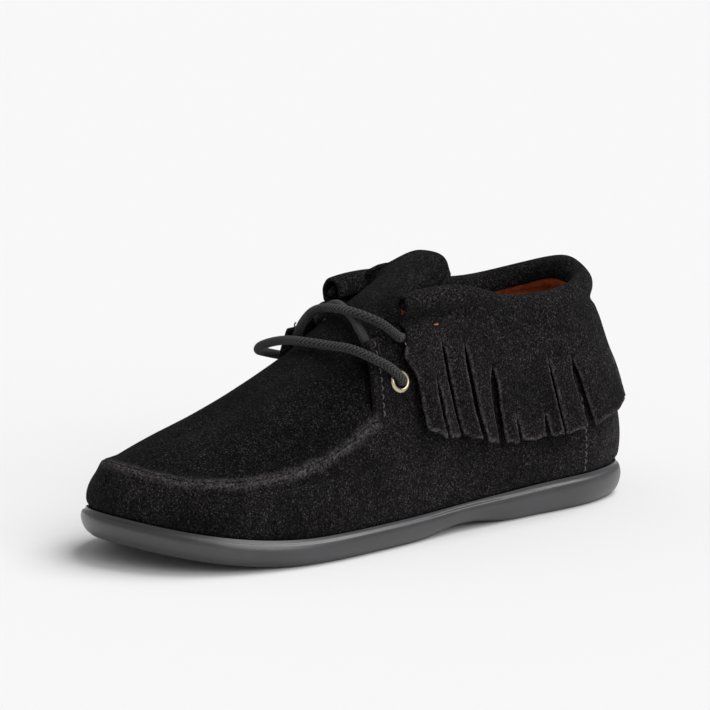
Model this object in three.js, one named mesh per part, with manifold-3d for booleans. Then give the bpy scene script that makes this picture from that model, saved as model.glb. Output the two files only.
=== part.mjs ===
// Fringe ankle boot for a child's left foot. Millimetres, toe towards +X, outer side towards +Y, +Z up.
import * as THREE from 'three';
import { mergeVertices } from 'three/addons/utils/BufferGeometryUtils.js';
import Module from 'manifold-3d';

const wasm = await Module();
wasm.setup();

// Driving dimensions
const soleLength = 209;
const ballWidth = 80;
const soleSide = 8.9;
const heelWedge = 2.4;
const toeSpring = 8.6;
const archRise = 2.4;
const heelLift = 2.0;
const seatDepth = 1.2;
const clearance = 0.3;
const wall = 1.8;
const lipWidth = 7;
const featherInset = 3.2;
const featherRise = 1.2;
const seamHeight = 41.5;
const instepHeight = 60.5;
const toplineHeight = 72;
const seamRelief = 1.3;
const facingStep = 1.1;
const insoleThickness = 2.5;
const tongueThickness = 2.2;
const tongueHeight = 90;
const tongueWidth = 39;
const tongueRounding = 7;
const rollHeight = 8.6;
const rollThickness = 7.4;
const fringeThickness = 1.3;
const fringeLength = 40;
const fringeBand = 9;
const slitWidth = 0.9;
const fringeStandoff = 0.7;
const frontFlare = 1.6;
const flareDepth = 6;
const laceDiameter = 3.1;
const flangeDiameter = 8;
const flangeThickness = 0.8;
const boreDiameter = 4.6;
const barrelWall = 0.45;
const barrelPast = 0.4;
const facingAt = 0.600;
const facingLean = 4;
const facingFade = 30;

// Eyelets: back from the quarter's front edge in millimetres, height as a share of toplineHeight
const lowerEyelet = { back: 12, height: 0.739 };
const upperEyelet = { back: 20.5, height: 0.903 };

// Where the sole's flats, arch and lifts begin and end, as shares of soleLength
const liftEnd = 0.06;
const wedgeEnd = 0.16;
const archStart = 0.30;
const archEnd = 0.54;
const springStart = 0.72;

// Where the roll and the fringe begin, as shares of soleLength, and shares that shape the bends
const collarStartAt = 0.492;
const fringeStartAt = 0.528;
const leanRun = 0.12;
const leanPower = 1.6;
const seamWithin = 0.75;
const tongueFade = 0.3;
const tipStart = 0.7;
const tipPower = 4;
const archPower = 2.6;
const insoleEdge = 0.4;

// How finely the forms are divided
const foreRibs = 15;
const rearRibs = 18;
const apronCells = 6;
const tongueCells = { along: 11, across: 8 };
const rollCells = { along: 22, around: 12 };
const stripsPerSide = 12;
const laceStep = 1.6;

// Outline of the sole from above: along from the heel as a share of soleLength, sides as shares of
// ballWidth
const outlineRows = [
  { at: 0.000, outer: 0.000, inner: 0.000 },
  { at: 0.012, outer: 0.150, inner: 0.150 },
  { at: 0.048, outer: 0.288, inner: 0.281 },
  { at: 0.134, outer: 0.388, inner: 0.375 },
  { at: 0.287, outer: 0.413, inner: 0.369 },
  { at: 0.440, outer: 0.431, inner: 0.350 },
  { at: 0.584, outer: 0.481, inner: 0.419 },
  { at: 0.708, outer: 0.506, inner: 0.488 },
  { at: 0.804, outer: 0.481, inner: 0.513 },
  { at: 0.895, outer: 0.388, inner: 0.475 },
  { at: 0.957, outer: 0.238, inner: 0.363 },
  { at: 0.990, outer: 0.050, inner: 0.225 },
  { at: 1.000, outer: -0.088, inner: 0.088 },
];

// Side profile of the sole: height as a share of its side, inset as a share of soleSide
const sideRows = [
  { height: 0.00, inset: 0.37 },
  { height: 0.15, inset: 0.17 },
  { height: 0.36, inset: 0.05 },
  { height: 0.60, inset: 0.00 },
  { height: 0.82, inset: 0.05 },
  { height: 0.90, inset: 0.16 },
  { height: 1.00, inset: 0.20 },
];

// Upper wall up to the seam's level, from the toe (run 0) round to the heel (run 1): heights of the seam
// and the bulge as shares of seamHeight and of the seam's height, insets as shares of ballWidth
const wallRows = [
  { run: 0.00, seam: 0.765, seamIn: 0.110, bulge: 0.25, bulgeIn: 0.022 },
  { run: 0.08, seam: 0.712, seamIn: 0.122, bulge: 0.25, bulgeIn: 0.023 },
  { run: 0.15, seam: 0.672, seamIn: 0.118, bulge: 0.26, bulgeIn: 0.022 },
  { run: 0.22, seam: 0.662, seamIn: 0.110, bulge: 0.28, bulgeIn: 0.020 },
  { run: 0.28, seam: 0.688, seamIn: 0.104, bulge: 0.30, bulgeIn: 0.020 },
  { run: 0.34, seam: 0.758, seamIn: 0.098, bulge: 0.34, bulgeIn: 0.022 },
  { run: 0.39, seam: 0.860, seamIn: 0.096, bulge: 0.38, bulgeIn: 0.026 },
  { run: 0.44, seam: 1.000, seamIn: 0.094, bulge: 0.40, bulgeIn: 0.028 },
  { run: 0.52, seam: 1.020, seamIn: 0.076, bulge: 0.42, bulgeIn: 0.024 },
  { run: 0.60, seam: 1.000, seamIn: 0.058, bulge: 0.42, bulgeIn: 0.016 },
  { run: 0.68, seam: 0.990, seamIn: 0.048, bulge: 0.40, bulgeIn: 0.013 },
  { run: 0.78, seam: 0.980, seamIn: 0.044, bulge: 0.40, bulgeIn: 0.010 },
  { run: 0.88, seam: 0.960, seamIn: 0.042, bulge: 0.36, bulgeIn: 0.006 },
  { run: 1.00, seam: 0.950, seamIn: 0.048, bulge: 0.34, bulgeIn: 0.002 },
];

// Topline over that wall: its height as a share of toplineHeight, its insets on the outer and the inner
// side as shares of ballWidth, and the share of the way in that the wall has gone halfway up
const toplineRows = [
  { run: 0.28, height: 0.900, outer: 0.200, inner: 0.150, lean: 0.50 },
  { run: 0.39, height: 0.900, outer: 0.200, inner: 0.150, lean: 0.38 },
  { run: 0.44, height: 0.905, outer: 0.205, inner: 0.148, lean: 0.32 },
  { run: 0.52, height: 1.005, outer: 0.152, inner: 0.084, lean: 0.42 },
  { run: 0.60, height: 1.010, outer: 0.118, inner: 0.056, lean: 0.46 },
  { run: 0.68, height: 0.932, outer: 0.108, inner: 0.060, lean: 0.47 },
  { run: 0.78, height: 0.908, outer: 0.112, inner: 0.082, lean: 0.47 },
  { run: 0.88, height: 0.940, outer: 0.138, inner: 0.136, lean: 0.48 },
  { run: 1.00, height: 0.955, outer: 0.170, inner: 0.170, lean: 0.50 },
];

// Turn of the wall over the feather edge: rise in featherRise, out as the share of the way to the bulge
const featherRows = [
  { rise: 0, out: 0.00 },
  { rise: 1, out: 0.15 },
  { rise: 2, out: 0.75 },
];

// Middle line of the apron, from its toe end to the throat: along and height as shares of
// soleLength and instepHeight, its shift to the inner side as a share of ballWidth, and fullness as the
// power of the section's crown
const spineRows = [
  { share: 0.00, at: 0.885, shift: -0.065, height: 0.596, fullness: 1.15 },
  { share: 0.20, at: 0.840, shift: -0.055, height: 0.642, fullness: 1.9 },
  { share: 0.40, at: 0.788, shift: -0.040, height: 0.704, fullness: 2.2 },
  { share: 0.60, at: 0.730, shift: -0.022, height: 0.790, fullness: 2.6 },
  { share: 0.80, at: 0.670, shift: -0.008, height: 0.892, fullness: 3.3 },
  { share: 1.00, at: 0.614, shift: 0.000, height: 1.000, fullness: 4.4 },
];

// Tongue, from the throat to its tip: along as a share of soleLength, climb as the share of the way from
// instepHeight up to tongueHeight, width as a share of tongueWidth, drop of its edges as a share of that
const tongueRows = [
  { share: 0.00, at: 0.611, climb: 0.000, width: 1.10, drop: 0.200 },
  { share: 0.20, at: 0.562, climb: 0.225, width: 1.02, drop: 0.200 },
  { share: 0.40, at: 0.512, climb: 0.426, width: 0.98, drop: 0.200 },
  { share: 0.60, at: 0.464, climb: 0.616, width: 0.96, drop: 0.200 },
  { share: 0.80, at: 0.418, climb: 0.811, width: 0.95, drop: 0.205 },
  { share: 0.93, at: 0.388, climb: 0.945, width: 0.93, drop: 0.210 },
  { share: 1.00, at: 0.374, climb: 1.000, width: 0.84, drop: 0.200 },
];

// Collar roll, from its front end (share 0) to the heel (share 1): height and thickness as shares of
// rollHeight and rollThickness, out as the share of the thickness that stands outside the wall
const rollRows = [
  { share: 0.00, height: 0.86, thickness: 0.95, out: 0.52 },
  { share: 0.08, height: 0.98, thickness: 0.97, out: 0.52 },
  { share: 0.30, height: 1.00, thickness: 1.00, out: 0.50 },
  { share: 0.60, height: 0.98, thickness: 1.00, out: 0.42 },
  { share: 0.85, height: 1.20, thickness: 1.12, out: 0.36 },
  { share: 1.00, height: 1.44, thickness: 1.26, out: 0.36 },
];

// Strips of the fringe, from the front to the heel: length as a share of fringeLength, kick as how
// far the end stands off the wall and lean as how far it swings back, both as shares of its width
const stripRows = [
  { length: 0.86, kick: 0.20, lean: 0.10 },
  { length: 0.92, kick: 0.12, lean: 0.06 },
  { length: 0.96, kick: 0.20, lean: 0.14 },
  { length: 1.00, kick: 0.10, lean: 0.04 },
  { length: 1.00, kick: 0.22, lean: 0.12 },
  { length: 0.97, kick: 0.12, lean: 0.06 },
  { length: 0.95, kick: 0.20, lean: 0.16 },
  { length: 0.97, kick: 0.10, lean: 0.10 },
  { length: 0.95, kick: 0.16, lean: 0.18 },
  { length: 0.96, kick: 0.10, lean: 0.10 },
  { length: 0.94, kick: 0.14, lean: 0.06 },
  { length: 0.92, kick: 0.10, lean: 0.02 },
];

// Laces, from an outer eyelet to the inner one of the same pair: across as the share of the way between
// them, along (towards the toe) and rise off the straight line between them, in lace diameters
const barRows = [
  { across: -0.066, along: 0.32, rise: 0.60 },
  { across: -0.040, along: 1.68, rise: 1.63 },
  { across: 0.017, along: 3.35, rise: 2.79 },
  { across: 0.167, along: 4.20, rise: 3.57 },
  { across: 0.355, along: 4.55, rise: 3.61 },
  { across: 0.637, along: 4.49, rise: 3.46 },
  { across: 0.806, along: 4.40, rise: 3.20 },
  { across: 0.938, along: 4.60, rise: 2.62 },
  { across: 1.043, along: 4.73, rise: 1.92 },
  { across: 1.122, along: 4.08, rise: 1.21 },
  { across: 1.156, along: 2.79, rise: 0.76 },
  { across: 1.160, along: 1.37, rise: 0.63 },
  { across: 1.152, along: 0.54, rise: 0.63 },
];
const overRows = [
  { across: -0.037, along: 2.55, rise: 0.62 },
  { across: -0.004, along: 2.93, rise: 1.39 },
  { across: 0.089, along: 3.38, rise: 2.30 },
  { across: 0.345, along: 3.51, rise: 2.75 },
  { across: 0.609, along: 2.73, rise: 2.60 },
  { across: 0.771, along: 2.80, rise: 2.31 },
  { across: 0.844, along: 3.18, rise: 1.79 },
  { across: 0.865, along: 3.89, rise: 0.89 },
];
const underRows = [
  { across: 0.195, along: 4.48, rise: 0.88 },
  { across: 0.284, along: 3.96, rise: 1.53 },
  { across: 0.377, along: 3.25, rise: 2.04 },
  { across: 0.568, along: 2.28, rise: 2.82 },
  { across: 0.751, along: 1.70, rise: 3.08 },
  { across: 0.893, along: 1.83, rise: 3.02 },
  { across: 0.986, along: 2.15, rise: 2.63 },
  { across: 1.047, along: 2.41, rise: 1.86 },
];

// A smooth value between the rows of a table, without overshoot; level ends suit what is mirrored there
function between(rows, key, column, where, levelEnds = false) {
  const last = rows.length - 1;
  let k = 0;
  while (k < last - 1 && rows[k + 1][key] < where) k += 1;
  const step = (a) => rows[a + 1][key] - rows[a][key];
  const slope = (a) => (rows[a + 1][column] - rows[a][column]) / step(a);
  const tangent = (a) => {
    if (a === 0) return levelEnds ? 0 : slope(0);
    if (a === last) return levelEnds ? 0 : slope(last - 1);
    const before = slope(a - 1);
    const after = slope(a);
    return before * after <= 0 ? 0 : (2 * before * after) / (before + after);
  };
  const h = step(k);
  const t = THREE.MathUtils.clamp((where - rows[k][key]) / h, 0, 1);
  const from = rows[k][column];
  const to = rows[k + 1][column];
  return from * (1 + 2 * t) * (1 - t) ** 2 + to * t * t * (3 - 2 * t)
    + h * tangent(k) * t * (1 - t) ** 2 - h * tangent(k + 1) * t * t * (1 - t);
}

// Heights along the sole
function springHeight(x) {
  return toeSpring * (Math.max(0, x / soleLength - springStart) / (1 - springStart)) ** 2;
}

function treadHeight(x) {
  const inArch = THREE.MathUtils.clamp((x / soleLength - archStart) / (archEnd - archStart), 0, 1);
  const lift = heelLift * (Math.max(0, liftEnd - x / soleLength) / liftEnd) ** 2;
  return springHeight(x) + archRise * Math.sin(Math.PI * inArch) ** 2 + lift;
}

function rimHeight(x) {
  const wedge = 1 - THREE.MathUtils.smoothstep(x / soleLength, wedgeEnd, archEnd);
  return springHeight(x) + soleSide + heelWedge * wedge;
}

function seatHeight(x) {
  return rimHeight(x) - seatDepth;
}

// The outline as two halves that run from the toe round to the heel, by length along the edge
const outlineCurve = new THREE.CatmullRomCurve3([
  ...outlineRows.map((row) => new THREE.Vector3(row.at * soleLength, row.outer * ballWidth, 0)),
  ...outlineRows.slice(1, -1).reverse()
    .map((row) => new THREE.Vector3(row.at * soleLength, -row.inner * ballWidth, 0)),
], true, 'centripetal');

function halfOutline(side) {
  const samples = 300;
  const points = [];
  for (let k = 0; k <= samples; k += 1) {
    const t = 0.5 - side * 0.5 * (k / samples);
    points.push(outlineCurve.getPoint(t));
  }
  const lengths = [0];
  for (let k = 1; k <= samples; k += 1) lengths.push(lengths[k - 1] + points[k].distanceTo(points[k - 1]));
  return { points, lengths, length: lengths[samples], side };
}

const halves = { outer: halfOutline(1), inner: halfOutline(-1) };
const halfOf = (side) => (side > 0 ? halves.outer : halves.inner);

// A point of the outline with the direction inwards
function edgeAt(side, run) {
  const half = halfOf(side);
  const target = THREE.MathUtils.clamp(run, 0, 1) * half.length;
  let k = half.lengths.findIndex((length) => length >= target);
  k = Math.max(1, k);
  const t = (target - half.lengths[k - 1]) / (half.lengths[k] - half.lengths[k - 1]);
  const point = half.points[k - 1].clone().lerp(half.points[k], t);
  const before = half.points[Math.max(0, k - 3)];
  const after = half.points[Math.min(half.points.length - 1, k + 2)];
  const inwards = new THREE.Vector3(-(after.y - before.y), after.x - before.x, 0);
  inwards.normalize().multiplyScalar(side);
  if (run <= 0) inwards.set(-1, 0, 0);
  if (run >= 1) inwards.set(1, 0, 0);
  return { point, inwards };
}

function insetPoint(side, run, inset, z) {
  const { point, inwards } = edgeAt(side, run);
  return new THREE.Vector3(point.x + inwards.x * inset, point.y + inwards.y * inset, z);
}

// A point that lies over the seat of the sole, a clearance and a rise above it
function footPoint(side, run, inset, rise) {
  const point = insetPoint(side, run, inset, 0);
  point.z = seatHeight(point.x) + clearance + rise;
  return point;
}

function runAt(side, x) {
  const half = halfOf(side);
  const widest = half.points.findIndex((point) => point.x <= x);
  return half.lengths[widest] / half.length;
}

const facingRun = runAt(1, facingAt * soleLength);

// Section of the upper's wall at one place of the outline, from the feather edge to the topline
function wallSection(side, run) {
  const foot = footPoint(side, run, featherInset, 0).z;
  const low = (name) => between(wallRows, 'run', name, run, true);
  const high = (name) => between(toplineRows, 'run', name, run, true);
  const seam = low('seam') * seamHeight;
  const top = high('height') * toplineHeight;
  const topIn = high(side > 0 ? 'outer' : 'inner') * ballWidth;
  const freeSeamIn = low('seamIn') * ballWidth;
  const seamIn = run > facingRun ? Math.min(freeSeamIn, seamWithin * topIn) : freeSeamIn;
  const bulgeIn = low('bulgeIn') * ballWidth;
  const bulge = foot + low('bulge') * (seam - foot);
  const rows = featherRows.map(({ rise, out }) => (
    { z: foot + rise * featherRise, inset: THREE.MathUtils.lerp(featherInset, bulgeIn, out) }
  ));
  rows.push(
    { z: bulge, inset: bulgeIn },
    { z: seam, inset: seamIn },
    { z: 0.5 * (seam + top), inset: THREE.MathUtils.lerp(seamIn, topIn, high('lean')) },
    { z: top, inset: topIn },
  );
  const insetAt = (z) => between(rows, 'z', 'inset', z);
  const leanHere = facingLean * THREE.MathUtils.clamp(1 - (run - facingRun) / leanRun, 0, 1);
  const pointAt = (z) => {
    const point = insetPoint(side, run, insetAt(z), z);
    point.x -= leanHere * THREE.MathUtils.clamp((z - seam) / (top - seam), 0, 1) ** leanPower;
    return point;
  };
  return { foot, bulge, seam, top, insetAt, pointAt };
}

// Ribs of the upper: the apron crosses over up to the throat, the quarters stand behind it
const slitRun = slitWidth / halves.outer.length;
const ribRuns = [];
for (let i = 0; i <= foreRibs; i += 1) ribRuns.push(facingRun * (i / foreRibs));
for (let i = 0; i <= rearRibs; i += 1) {
  ribRuns.push(facingRun + slitRun + (1 - facingRun - slitRun) * (i / rearRibs));
}

const seamLevel = 6;
const spineLevel = seamLevel + apronCells;
const ridgeHalfWidth = 2.2;
const featherLevel = 1.6;
const wallLevel = 0.55;
const levelSpread = 4;
const levelSpreadRibs = 4;

// The apron's point between the seam and the middle line, across from 0 to 1
function apronPoint(side, rib, across) {
  const seam = wallSection(side, ribRuns[rib]);
  const from = seam.pointAt(seam.seam);
  const share = rib / foreRibs;
  const column = (name) => between(spineRows, 'share', name, share);
  const spine = new THREE.Vector3(
    column('at') * soleLength,
    column('shift') * ballWidth,
    column('height') * instepHeight,
  );
  const point = from.clone().lerp(spine, across);
  point.z = from.z + (spine.z - from.z) * (1 - (1 - across) ** column('fullness'));
  return point;
}

function upperPoint(side, rib, level) {
  const run = ribRuns[rib];
  const section = wallSection(side, run);
  const foot = section.foot;
  if (level === 0) return footPoint(side, run, featherInset + lipWidth, 0);
  if (level === 1) return footPoint(side, run, featherInset, 0);
  if (level === 2) return section.pointAt(foot + featherLevel * featherRise);
  if (level === 3) return section.pointAt(section.bulge);
  const seam = section.seam;
  const behind = THREE.MathUtils.clamp((rib - foreRibs - 1) / levelSpreadRibs, 0, 1);
  const half = ridgeHalfWidth + behind * levelSpread;
  if (level === 4) return section.pointAt(THREE.MathUtils.lerp(section.bulge, seam - half, wallLevel));
  if (level === 5) return section.pointAt(seam - half);
  if (level === seamLevel) return section.pointAt(seam);
  if (rib > foreRibs) {
    const share = (level - seamLevel - 1) / (apronCells - 2);
    return section.pointAt(seam + half + share * (section.top - seam - half));
  }
  const from = apronPoint(side, rib, 0);
  const to = apronPoint(side, rib, 1);
  const first = Math.min(0.2, ridgeHalfWidth / from.distanceTo(to));
  return apronPoint(side, rib, first + (1 - first) * ((level - seamLevel - 1) / (apronCells - 1)));
}

// The quarter's front edge stands over the apron, and eases back into the wall behind it
function facingShift(run) {
  const behind = (run - facingRun) * halves.outer.length;
  return facingStep * THREE.MathUtils.clamp(1 - behind / facingFade, 0, 1);
}

function upperRelief(rib, level) {
  if (rib <= foreRibs) return { out: level === seamLevel ? seamRelief : 0, in: 0 };
  const shift = level > seamLevel ? facingShift(ribRuns[rib]) : 0;
  return { out: shift, in: shift };
}

// A closed wall between an outer grid of points and the same grid moved in along its normals
function wallSolid(rows, columns, pointAt, reliefAt, keepCell, thickness) {
  const vertices = [];
  const indexOf = new Map();
  const ids = [];
  for (let i = 0; i <= rows; i += 1) {
    ids.push([]);
    for (let j = 0; j <= columns; j += 1) {
      const point = pointAt(i, j);
      const key = point.toArray().map((value) => Math.round(value * 1e3)).join(' ');
      if (!indexOf.has(key)) {
        indexOf.set(key, vertices.length);
        vertices.push({ point, relief: reliefAt(i, j), normal: new THREE.Vector3() });
      }
      ids[i].push(indexOf.get(key));
    }
  }
  const faces = [];
  for (let i = 0; i < rows; i += 1) {
    for (let j = 0; j < columns; j += 1) {
      if (!keepCell(i, j)) continue;
      const corners = [ids[i][j], ids[i + 1][j], ids[i + 1][j + 1], ids[i][j + 1]];
      const unique = corners.filter((id, k) => corners.indexOf(id) === k);
      if (unique.length === 3) faces.push(unique);
      if (unique.length < 4) continue;
      const [a, b, c, d] = corners.map((id) => vertices[id].point);
      const swap = a.distanceTo(c) > b.distanceTo(d);
      const order = swap ? [1, 2, 3, 0] : [0, 1, 2, 3];
      const quad = order.map((k) => corners[k]);
      faces.push([quad[0], quad[1], quad[2]], [quad[0], quad[2], quad[3]]);
    }
  }
  for (const [a, b, c] of faces) {
    const ab = vertices[b].point.clone().sub(vertices[a].point);
    const ac = vertices[c].point.clone().sub(vertices[a].point);
    const normal = ab.cross(ac).normalize();
    for (const id of [a, b, c]) vertices[id].normal.add(normal);
  }
  for (const vertex of vertices) {
    vertex.normal.normalize();
    const { relief, normal, point } = vertex;
    vertex.outside = point.clone().addScaledVector(normal, relief.out);
    vertex.inside = point.clone().addScaledVector(normal, relief.in - thickness);
  }
  const directed = new Set(faces.flatMap(([a, b, c]) => [`${a} ${b}`, `${b} ${c}`, `${c} ${a}`]));
  const positions = [];
  const add = (...points) => points.forEach((point) => positions.push(...point.toArray()));
  for (const [a, b, c] of faces) {
    add(vertices[a].outside, vertices[b].outside, vertices[c].outside);
    add(vertices[a].inside, vertices[c].inside, vertices[b].inside);
    for (const [p, q] of [[a, b], [b, c], [c, a]]) {
      if (directed.has(`${q} ${p}`)) continue;
      add(vertices[p].outside, vertices[p].inside, vertices[q].outside);
      add(vertices[q].outside, vertices[p].inside, vertices[q].inside);
    }
  }
  return solidGeometry(positions);
}

function solidGeometry(positions) {
  const loose = new THREE.BufferGeometry();
  loose.setAttribute('position', new THREE.Float32BufferAttribute(positions, 3));
  const geometry = mergeVertices(loose, 1e-3);
  const index = Array.from(geometry.index.array);
  const kept = [];
  for (let k = 0; k < index.length; k += 3) {
    const [a, b, c] = index.slice(k, k + 3);
    if (a !== b && b !== c && c !== a) kept.push(a, b, c);
  }
  const corner = (k) => new THREE.Vector3().fromBufferAttribute(geometry.attributes.position, kept[k]);
  let volume = 0;
  for (let k = 0; k < kept.length; k += 3) volume += corner(k).dot(corner(k + 1).cross(corner(k + 2)));
  geometry.setIndex(volume < 0 ? kept.reverse() : kept);
  return geometry;
}

// A closed skin over rings of points, with a cap on each end ring that isn't pinched together
function ringSolid(rings, capped) {
  const positions = [];
  const count = rings[0].length;
  const add = (...points) => points.forEach((point) => positions.push(...point.toArray()));
  for (let i = 0; i < rings.length - 1; i += 1) {
    const here = rings[i];
    const next = rings[i + 1];
    for (let j = 0; j < count; j += 1) {
      const k = (j + 1) % count;
      add(here[j], next[j], next[k], here[j], next[k], here[k]);
    }
  }
  if (capped) {
    for (const [ring, flip] of [[rings[0], false], [rings[rings.length - 1], true]]) {
      const middle = ring.reduce((sum, point) => sum.add(point), new THREE.Vector3()).divideScalar(count);
      for (let j = 0; j < count; j += 1) {
        const k = (j + 1) % count;
        if (flip) add(middle, ring[k], ring[j]);
        else add(middle, ring[j], ring[k]);
      }
    }
  }
  return solidGeometry(positions);
}

// Joins and cuts
function toManifold(geometry) {
  const plain = geometry.index ? geometry.clone() : mergeVertices(geometry.clone());
  plain.deleteAttribute('normal');
  plain.deleteAttribute('uv');
  const merged = mergeVertices(plain, 1e-4);
  return new wasm.Manifold(new wasm.Mesh({
    numProp: 3,
    vertProperties: new Float32Array(merged.attributes.position.array),
    triVerts: new Uint32Array(merged.index.array),
  }));
}

function fromManifold(solid) {
  const mesh = solid.getMesh();
  const geometry = new THREE.BufferGeometry();
  geometry.setAttribute('position', new THREE.BufferAttribute(new Float32Array(mesh.vertProperties), 3));
  geometry.setIndex(new THREE.BufferAttribute(new Uint32Array(mesh.triVerts), 1));
  return geometry;
}

// Ribs that cross the sole from edge to edge, as closed rings of points
function crossRings(profile, middle) {
  return ribRuns.map((run) => {
    const side = (sign) => profile.map(({ inset, height }) => {
      const point = insetPoint(sign, run, inset, 0);
      point.z = height(point.x);
      return point;
    });
    const outer = side(1);
    const inner = side(-1);
    const across = (a, b, height) => middle.map((share) => {
      const point = a.clone().lerp(b, share);
      point.z = height(point.x);
      return point;
    });
    const first = profile[0].height;
    const last = profile[profile.length - 1].height;
    const top = across(outer[outer.length - 1], inner[inner.length - 1], last);
    const bottom = across(inner[0], outer[0], first);
    return [...outer, ...top, ...inner.reverse(), ...bottom];
  });
}

function makeOutsole() {
  const profile = sideRows.map((row) => ({
    inset: row.inset * soleSide,
    height: (x) => treadHeight(x) + row.height * (rimHeight(x) - treadHeight(x)),
  }));
  profile.push({ inset: featherInset - 3 * clearance, height: seatHeight });
  return ringSolid(crossRings(profile, [0.2, 0.5, 0.8]), false);
}

function makeInsole() {
  const edge = featherInset + wall;
  const under = (x) => seatHeight(x) + 2 * clearance + wall;
  const lipEdge = featherInset + lipWidth + 2 * clearance;
  const profile = [
    { inset: lipEdge, height: (x) => seatHeight(x) + clearance },
    { inset: lipEdge, height: under },
    { inset: edge, height: under },
    { inset: edge, height: (x) => under(x) + (1 - insoleEdge) * insoleThickness },
    { inset: edge + insoleEdge * insoleThickness, height: (x) => under(x) + insoleThickness },
  ];
  return ringSolid(crossRings(profile, [0.25, 0.5, 0.75]), false);
}

function makeUpper() {
  const rows = ribRuns.length - 1;
  const columns = 2 * spineLevel;
  const levelOf = (j) => spineLevel - Math.abs(j - spineLevel);
  const sideOf = (j) => (j <= spineLevel ? 1 : -1);
  const pointAt = (i, j) => upperPoint(sideOf(j), i, levelOf(j));
  const shell = wallSolid(rows, columns, pointAt, (i, j) => upperRelief(i, levelOf(j)), (i, j) => {
    const level = Math.min(levelOf(j), levelOf(j + 1));
    if (i === foreRibs) return level < seamLevel;
    return i < foreRibs || level < spineLevel - 1;
  }, wall);
  let solid = toManifold(shell);
  for (const place of [...lowerPair, ...upperPair]) {
    const hole = new THREE.CylinderGeometry(1, 1, 6 * wall, 12).rotateX(Math.PI / 2);
    hole.scale(boreDiameter / 2 + wall / 2, boreDiameter / 2 + wall / 2, 1);
    solid = solid.subtract(toManifold(hole.applyMatrix4(place.matrix)));
  }
  return fromManifold(solid);
}

// The tongue carries the apron's surface on from the throat, and arches down under the quarters
function makeTongue() {
  const { along, across: columns } = tongueCells;
  const pointAt = (i, j) => {
    const share = i / along;
    const column = (name) => between(tongueRows, 'share', name, share);
    const across = (2 * j) / columns - 1;
    const width = column('width') * tongueWidth;
    const y = (-across * width) / 2;
    const x = column('at') * soleLength;
    const side = y < 0 ? -1 : 1;
    const seamEnd = apronPoint(side, foreRibs, 0);
    const apronEnd = apronPoint(side, foreRibs, 1 - y / seamEnd.y);
    const throat = 1 - THREE.MathUtils.smoothstep(share, 0, tongueFade);
    const atThroat = apronEnd.x - 2 * clearance - tongueRows[0].at * soleLength;
    const round = tongueRounding * THREE.MathUtils.smoothstep(share, tipStart, 1) * across ** tipPower;
    const drop = column('drop') * width * Math.abs(across) ** archPower;
    const sink = THREE.MathUtils.lerp(drop, instepHeight - apronEnd.z, throat);
    const height = THREE.MathUtils.lerp(instepHeight, tongueHeight, column('climb'));
    return new THREE.Vector3(x + throat * atThroat + round, y, height - sink);
  };
  return wallSolid(along, columns, pointAt, () => ({ out: 0, in: 0 }), () => true, tongueThickness);
}

// The collar: a padded roll along the topline, open at the throat
function makeCollar() {
  const { along: stations, around } = rollCells;
  const startOuter = runAt(1, collarStartAt * soleLength);
  const startInner = runAt(-1, collarStartAt * soleLength);
  const rings = [];
  for (let i = 0; i <= 2 * stations; i += 1) {
    const side = i <= stations ? 1 : -1;
    const share = i <= stations ? i / stations : 2 - i / stations;
    const start = side > 0 ? startOuter : startInner;
    const run = start + (1 - start) * share;
    const section = wallSection(side, run);
    const column = (name) => between(rollRows, 'share', name, share);
    const thickness = column('thickness') * rollThickness;
    const height = column('height') * rollHeight;
    const inset = section.insetAt(section.top) + wall / 2 + (0.5 - column('out')) * thickness;
    const middle = section.top + clearance + height / 2;
    const ring = [];
    for (let k = 0; k < around; k += 1) {
      const angle = (2 * Math.PI * k) / around;
      const outwards = Math.cos(angle) * (thickness / 2);
      ring.push(insetPoint(side, run, inset - outwards, middle + Math.sin(angle) * (height / 2)));
    }
    rings.push(ring);
  }
  return ringSolid(rings, true);
}

// The fringe: a band under the roll, cut into strips that hang over the quarters
function makeFringe() {
  const total = 2 * stripsPerSide;
  const rows = 3 * total - 1;
  const starts = { 1: runAt(1, fringeStartAt * soleLength), [-1]: runAt(-1, fringeStartAt * soleLength) };
  const depths = [0, fringeBand, 0.5 * fringeLength, 0.77 * fringeLength, fringeLength];
  const pointAt = (i, j) => {
    const strip = Math.floor(i / 3);
    const side = strip < stripsPerSide ? 1 : -1;
    const place = side > 0 ? strip : total - 1 - strip;
    const row = stripRows[place];
    const start = starts[side];
    const pitch = (1 - start) / stripsPerSide;
    const slit = slitWidth / halfOf(side).length;
    const within = [0, 0.5, 1][i % 3];
    const along = side > 0 ? within : 1 - within;
    const depth = j < 2 ? depths[j] : depths[j] * row.length;
    const hang = Math.max(0, (depth - fringeBand) / (fringeLength - fringeBand));
    const width = pitch * halfOf(side).length;
    const lean = (row.lean * width * hang ** 2) / halfOf(side).length;
    const run = Math.min(1 - slit / 2, start + pitch * place + slit / 2 + along * (pitch - slit) + lean);
    const section = wallSection(side, run);
    const z = section.top - clearance - depth;
    const front = THREE.MathUtils.clamp(1 - (place + along) / 3, 0, 1);
    const flare = Math.min(1, depth / flareDepth) * (fringeStandoff + frontFlare * front);
    const out = clearance + fringeThickness + flare + facingShift(run) + row.kick * width * hang ** 2;
    return insetPoint(side, run, section.insetAt(z) - out, z);
  };
  const keep = (i, j) => j === 0 || i % 3 !== 2;
  return wallSolid(rows, depths.length - 1, (i, j) => pointAt(i, j), () => ({ out: 0, in: 0 }), keep,
    fringeThickness);
}

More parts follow.
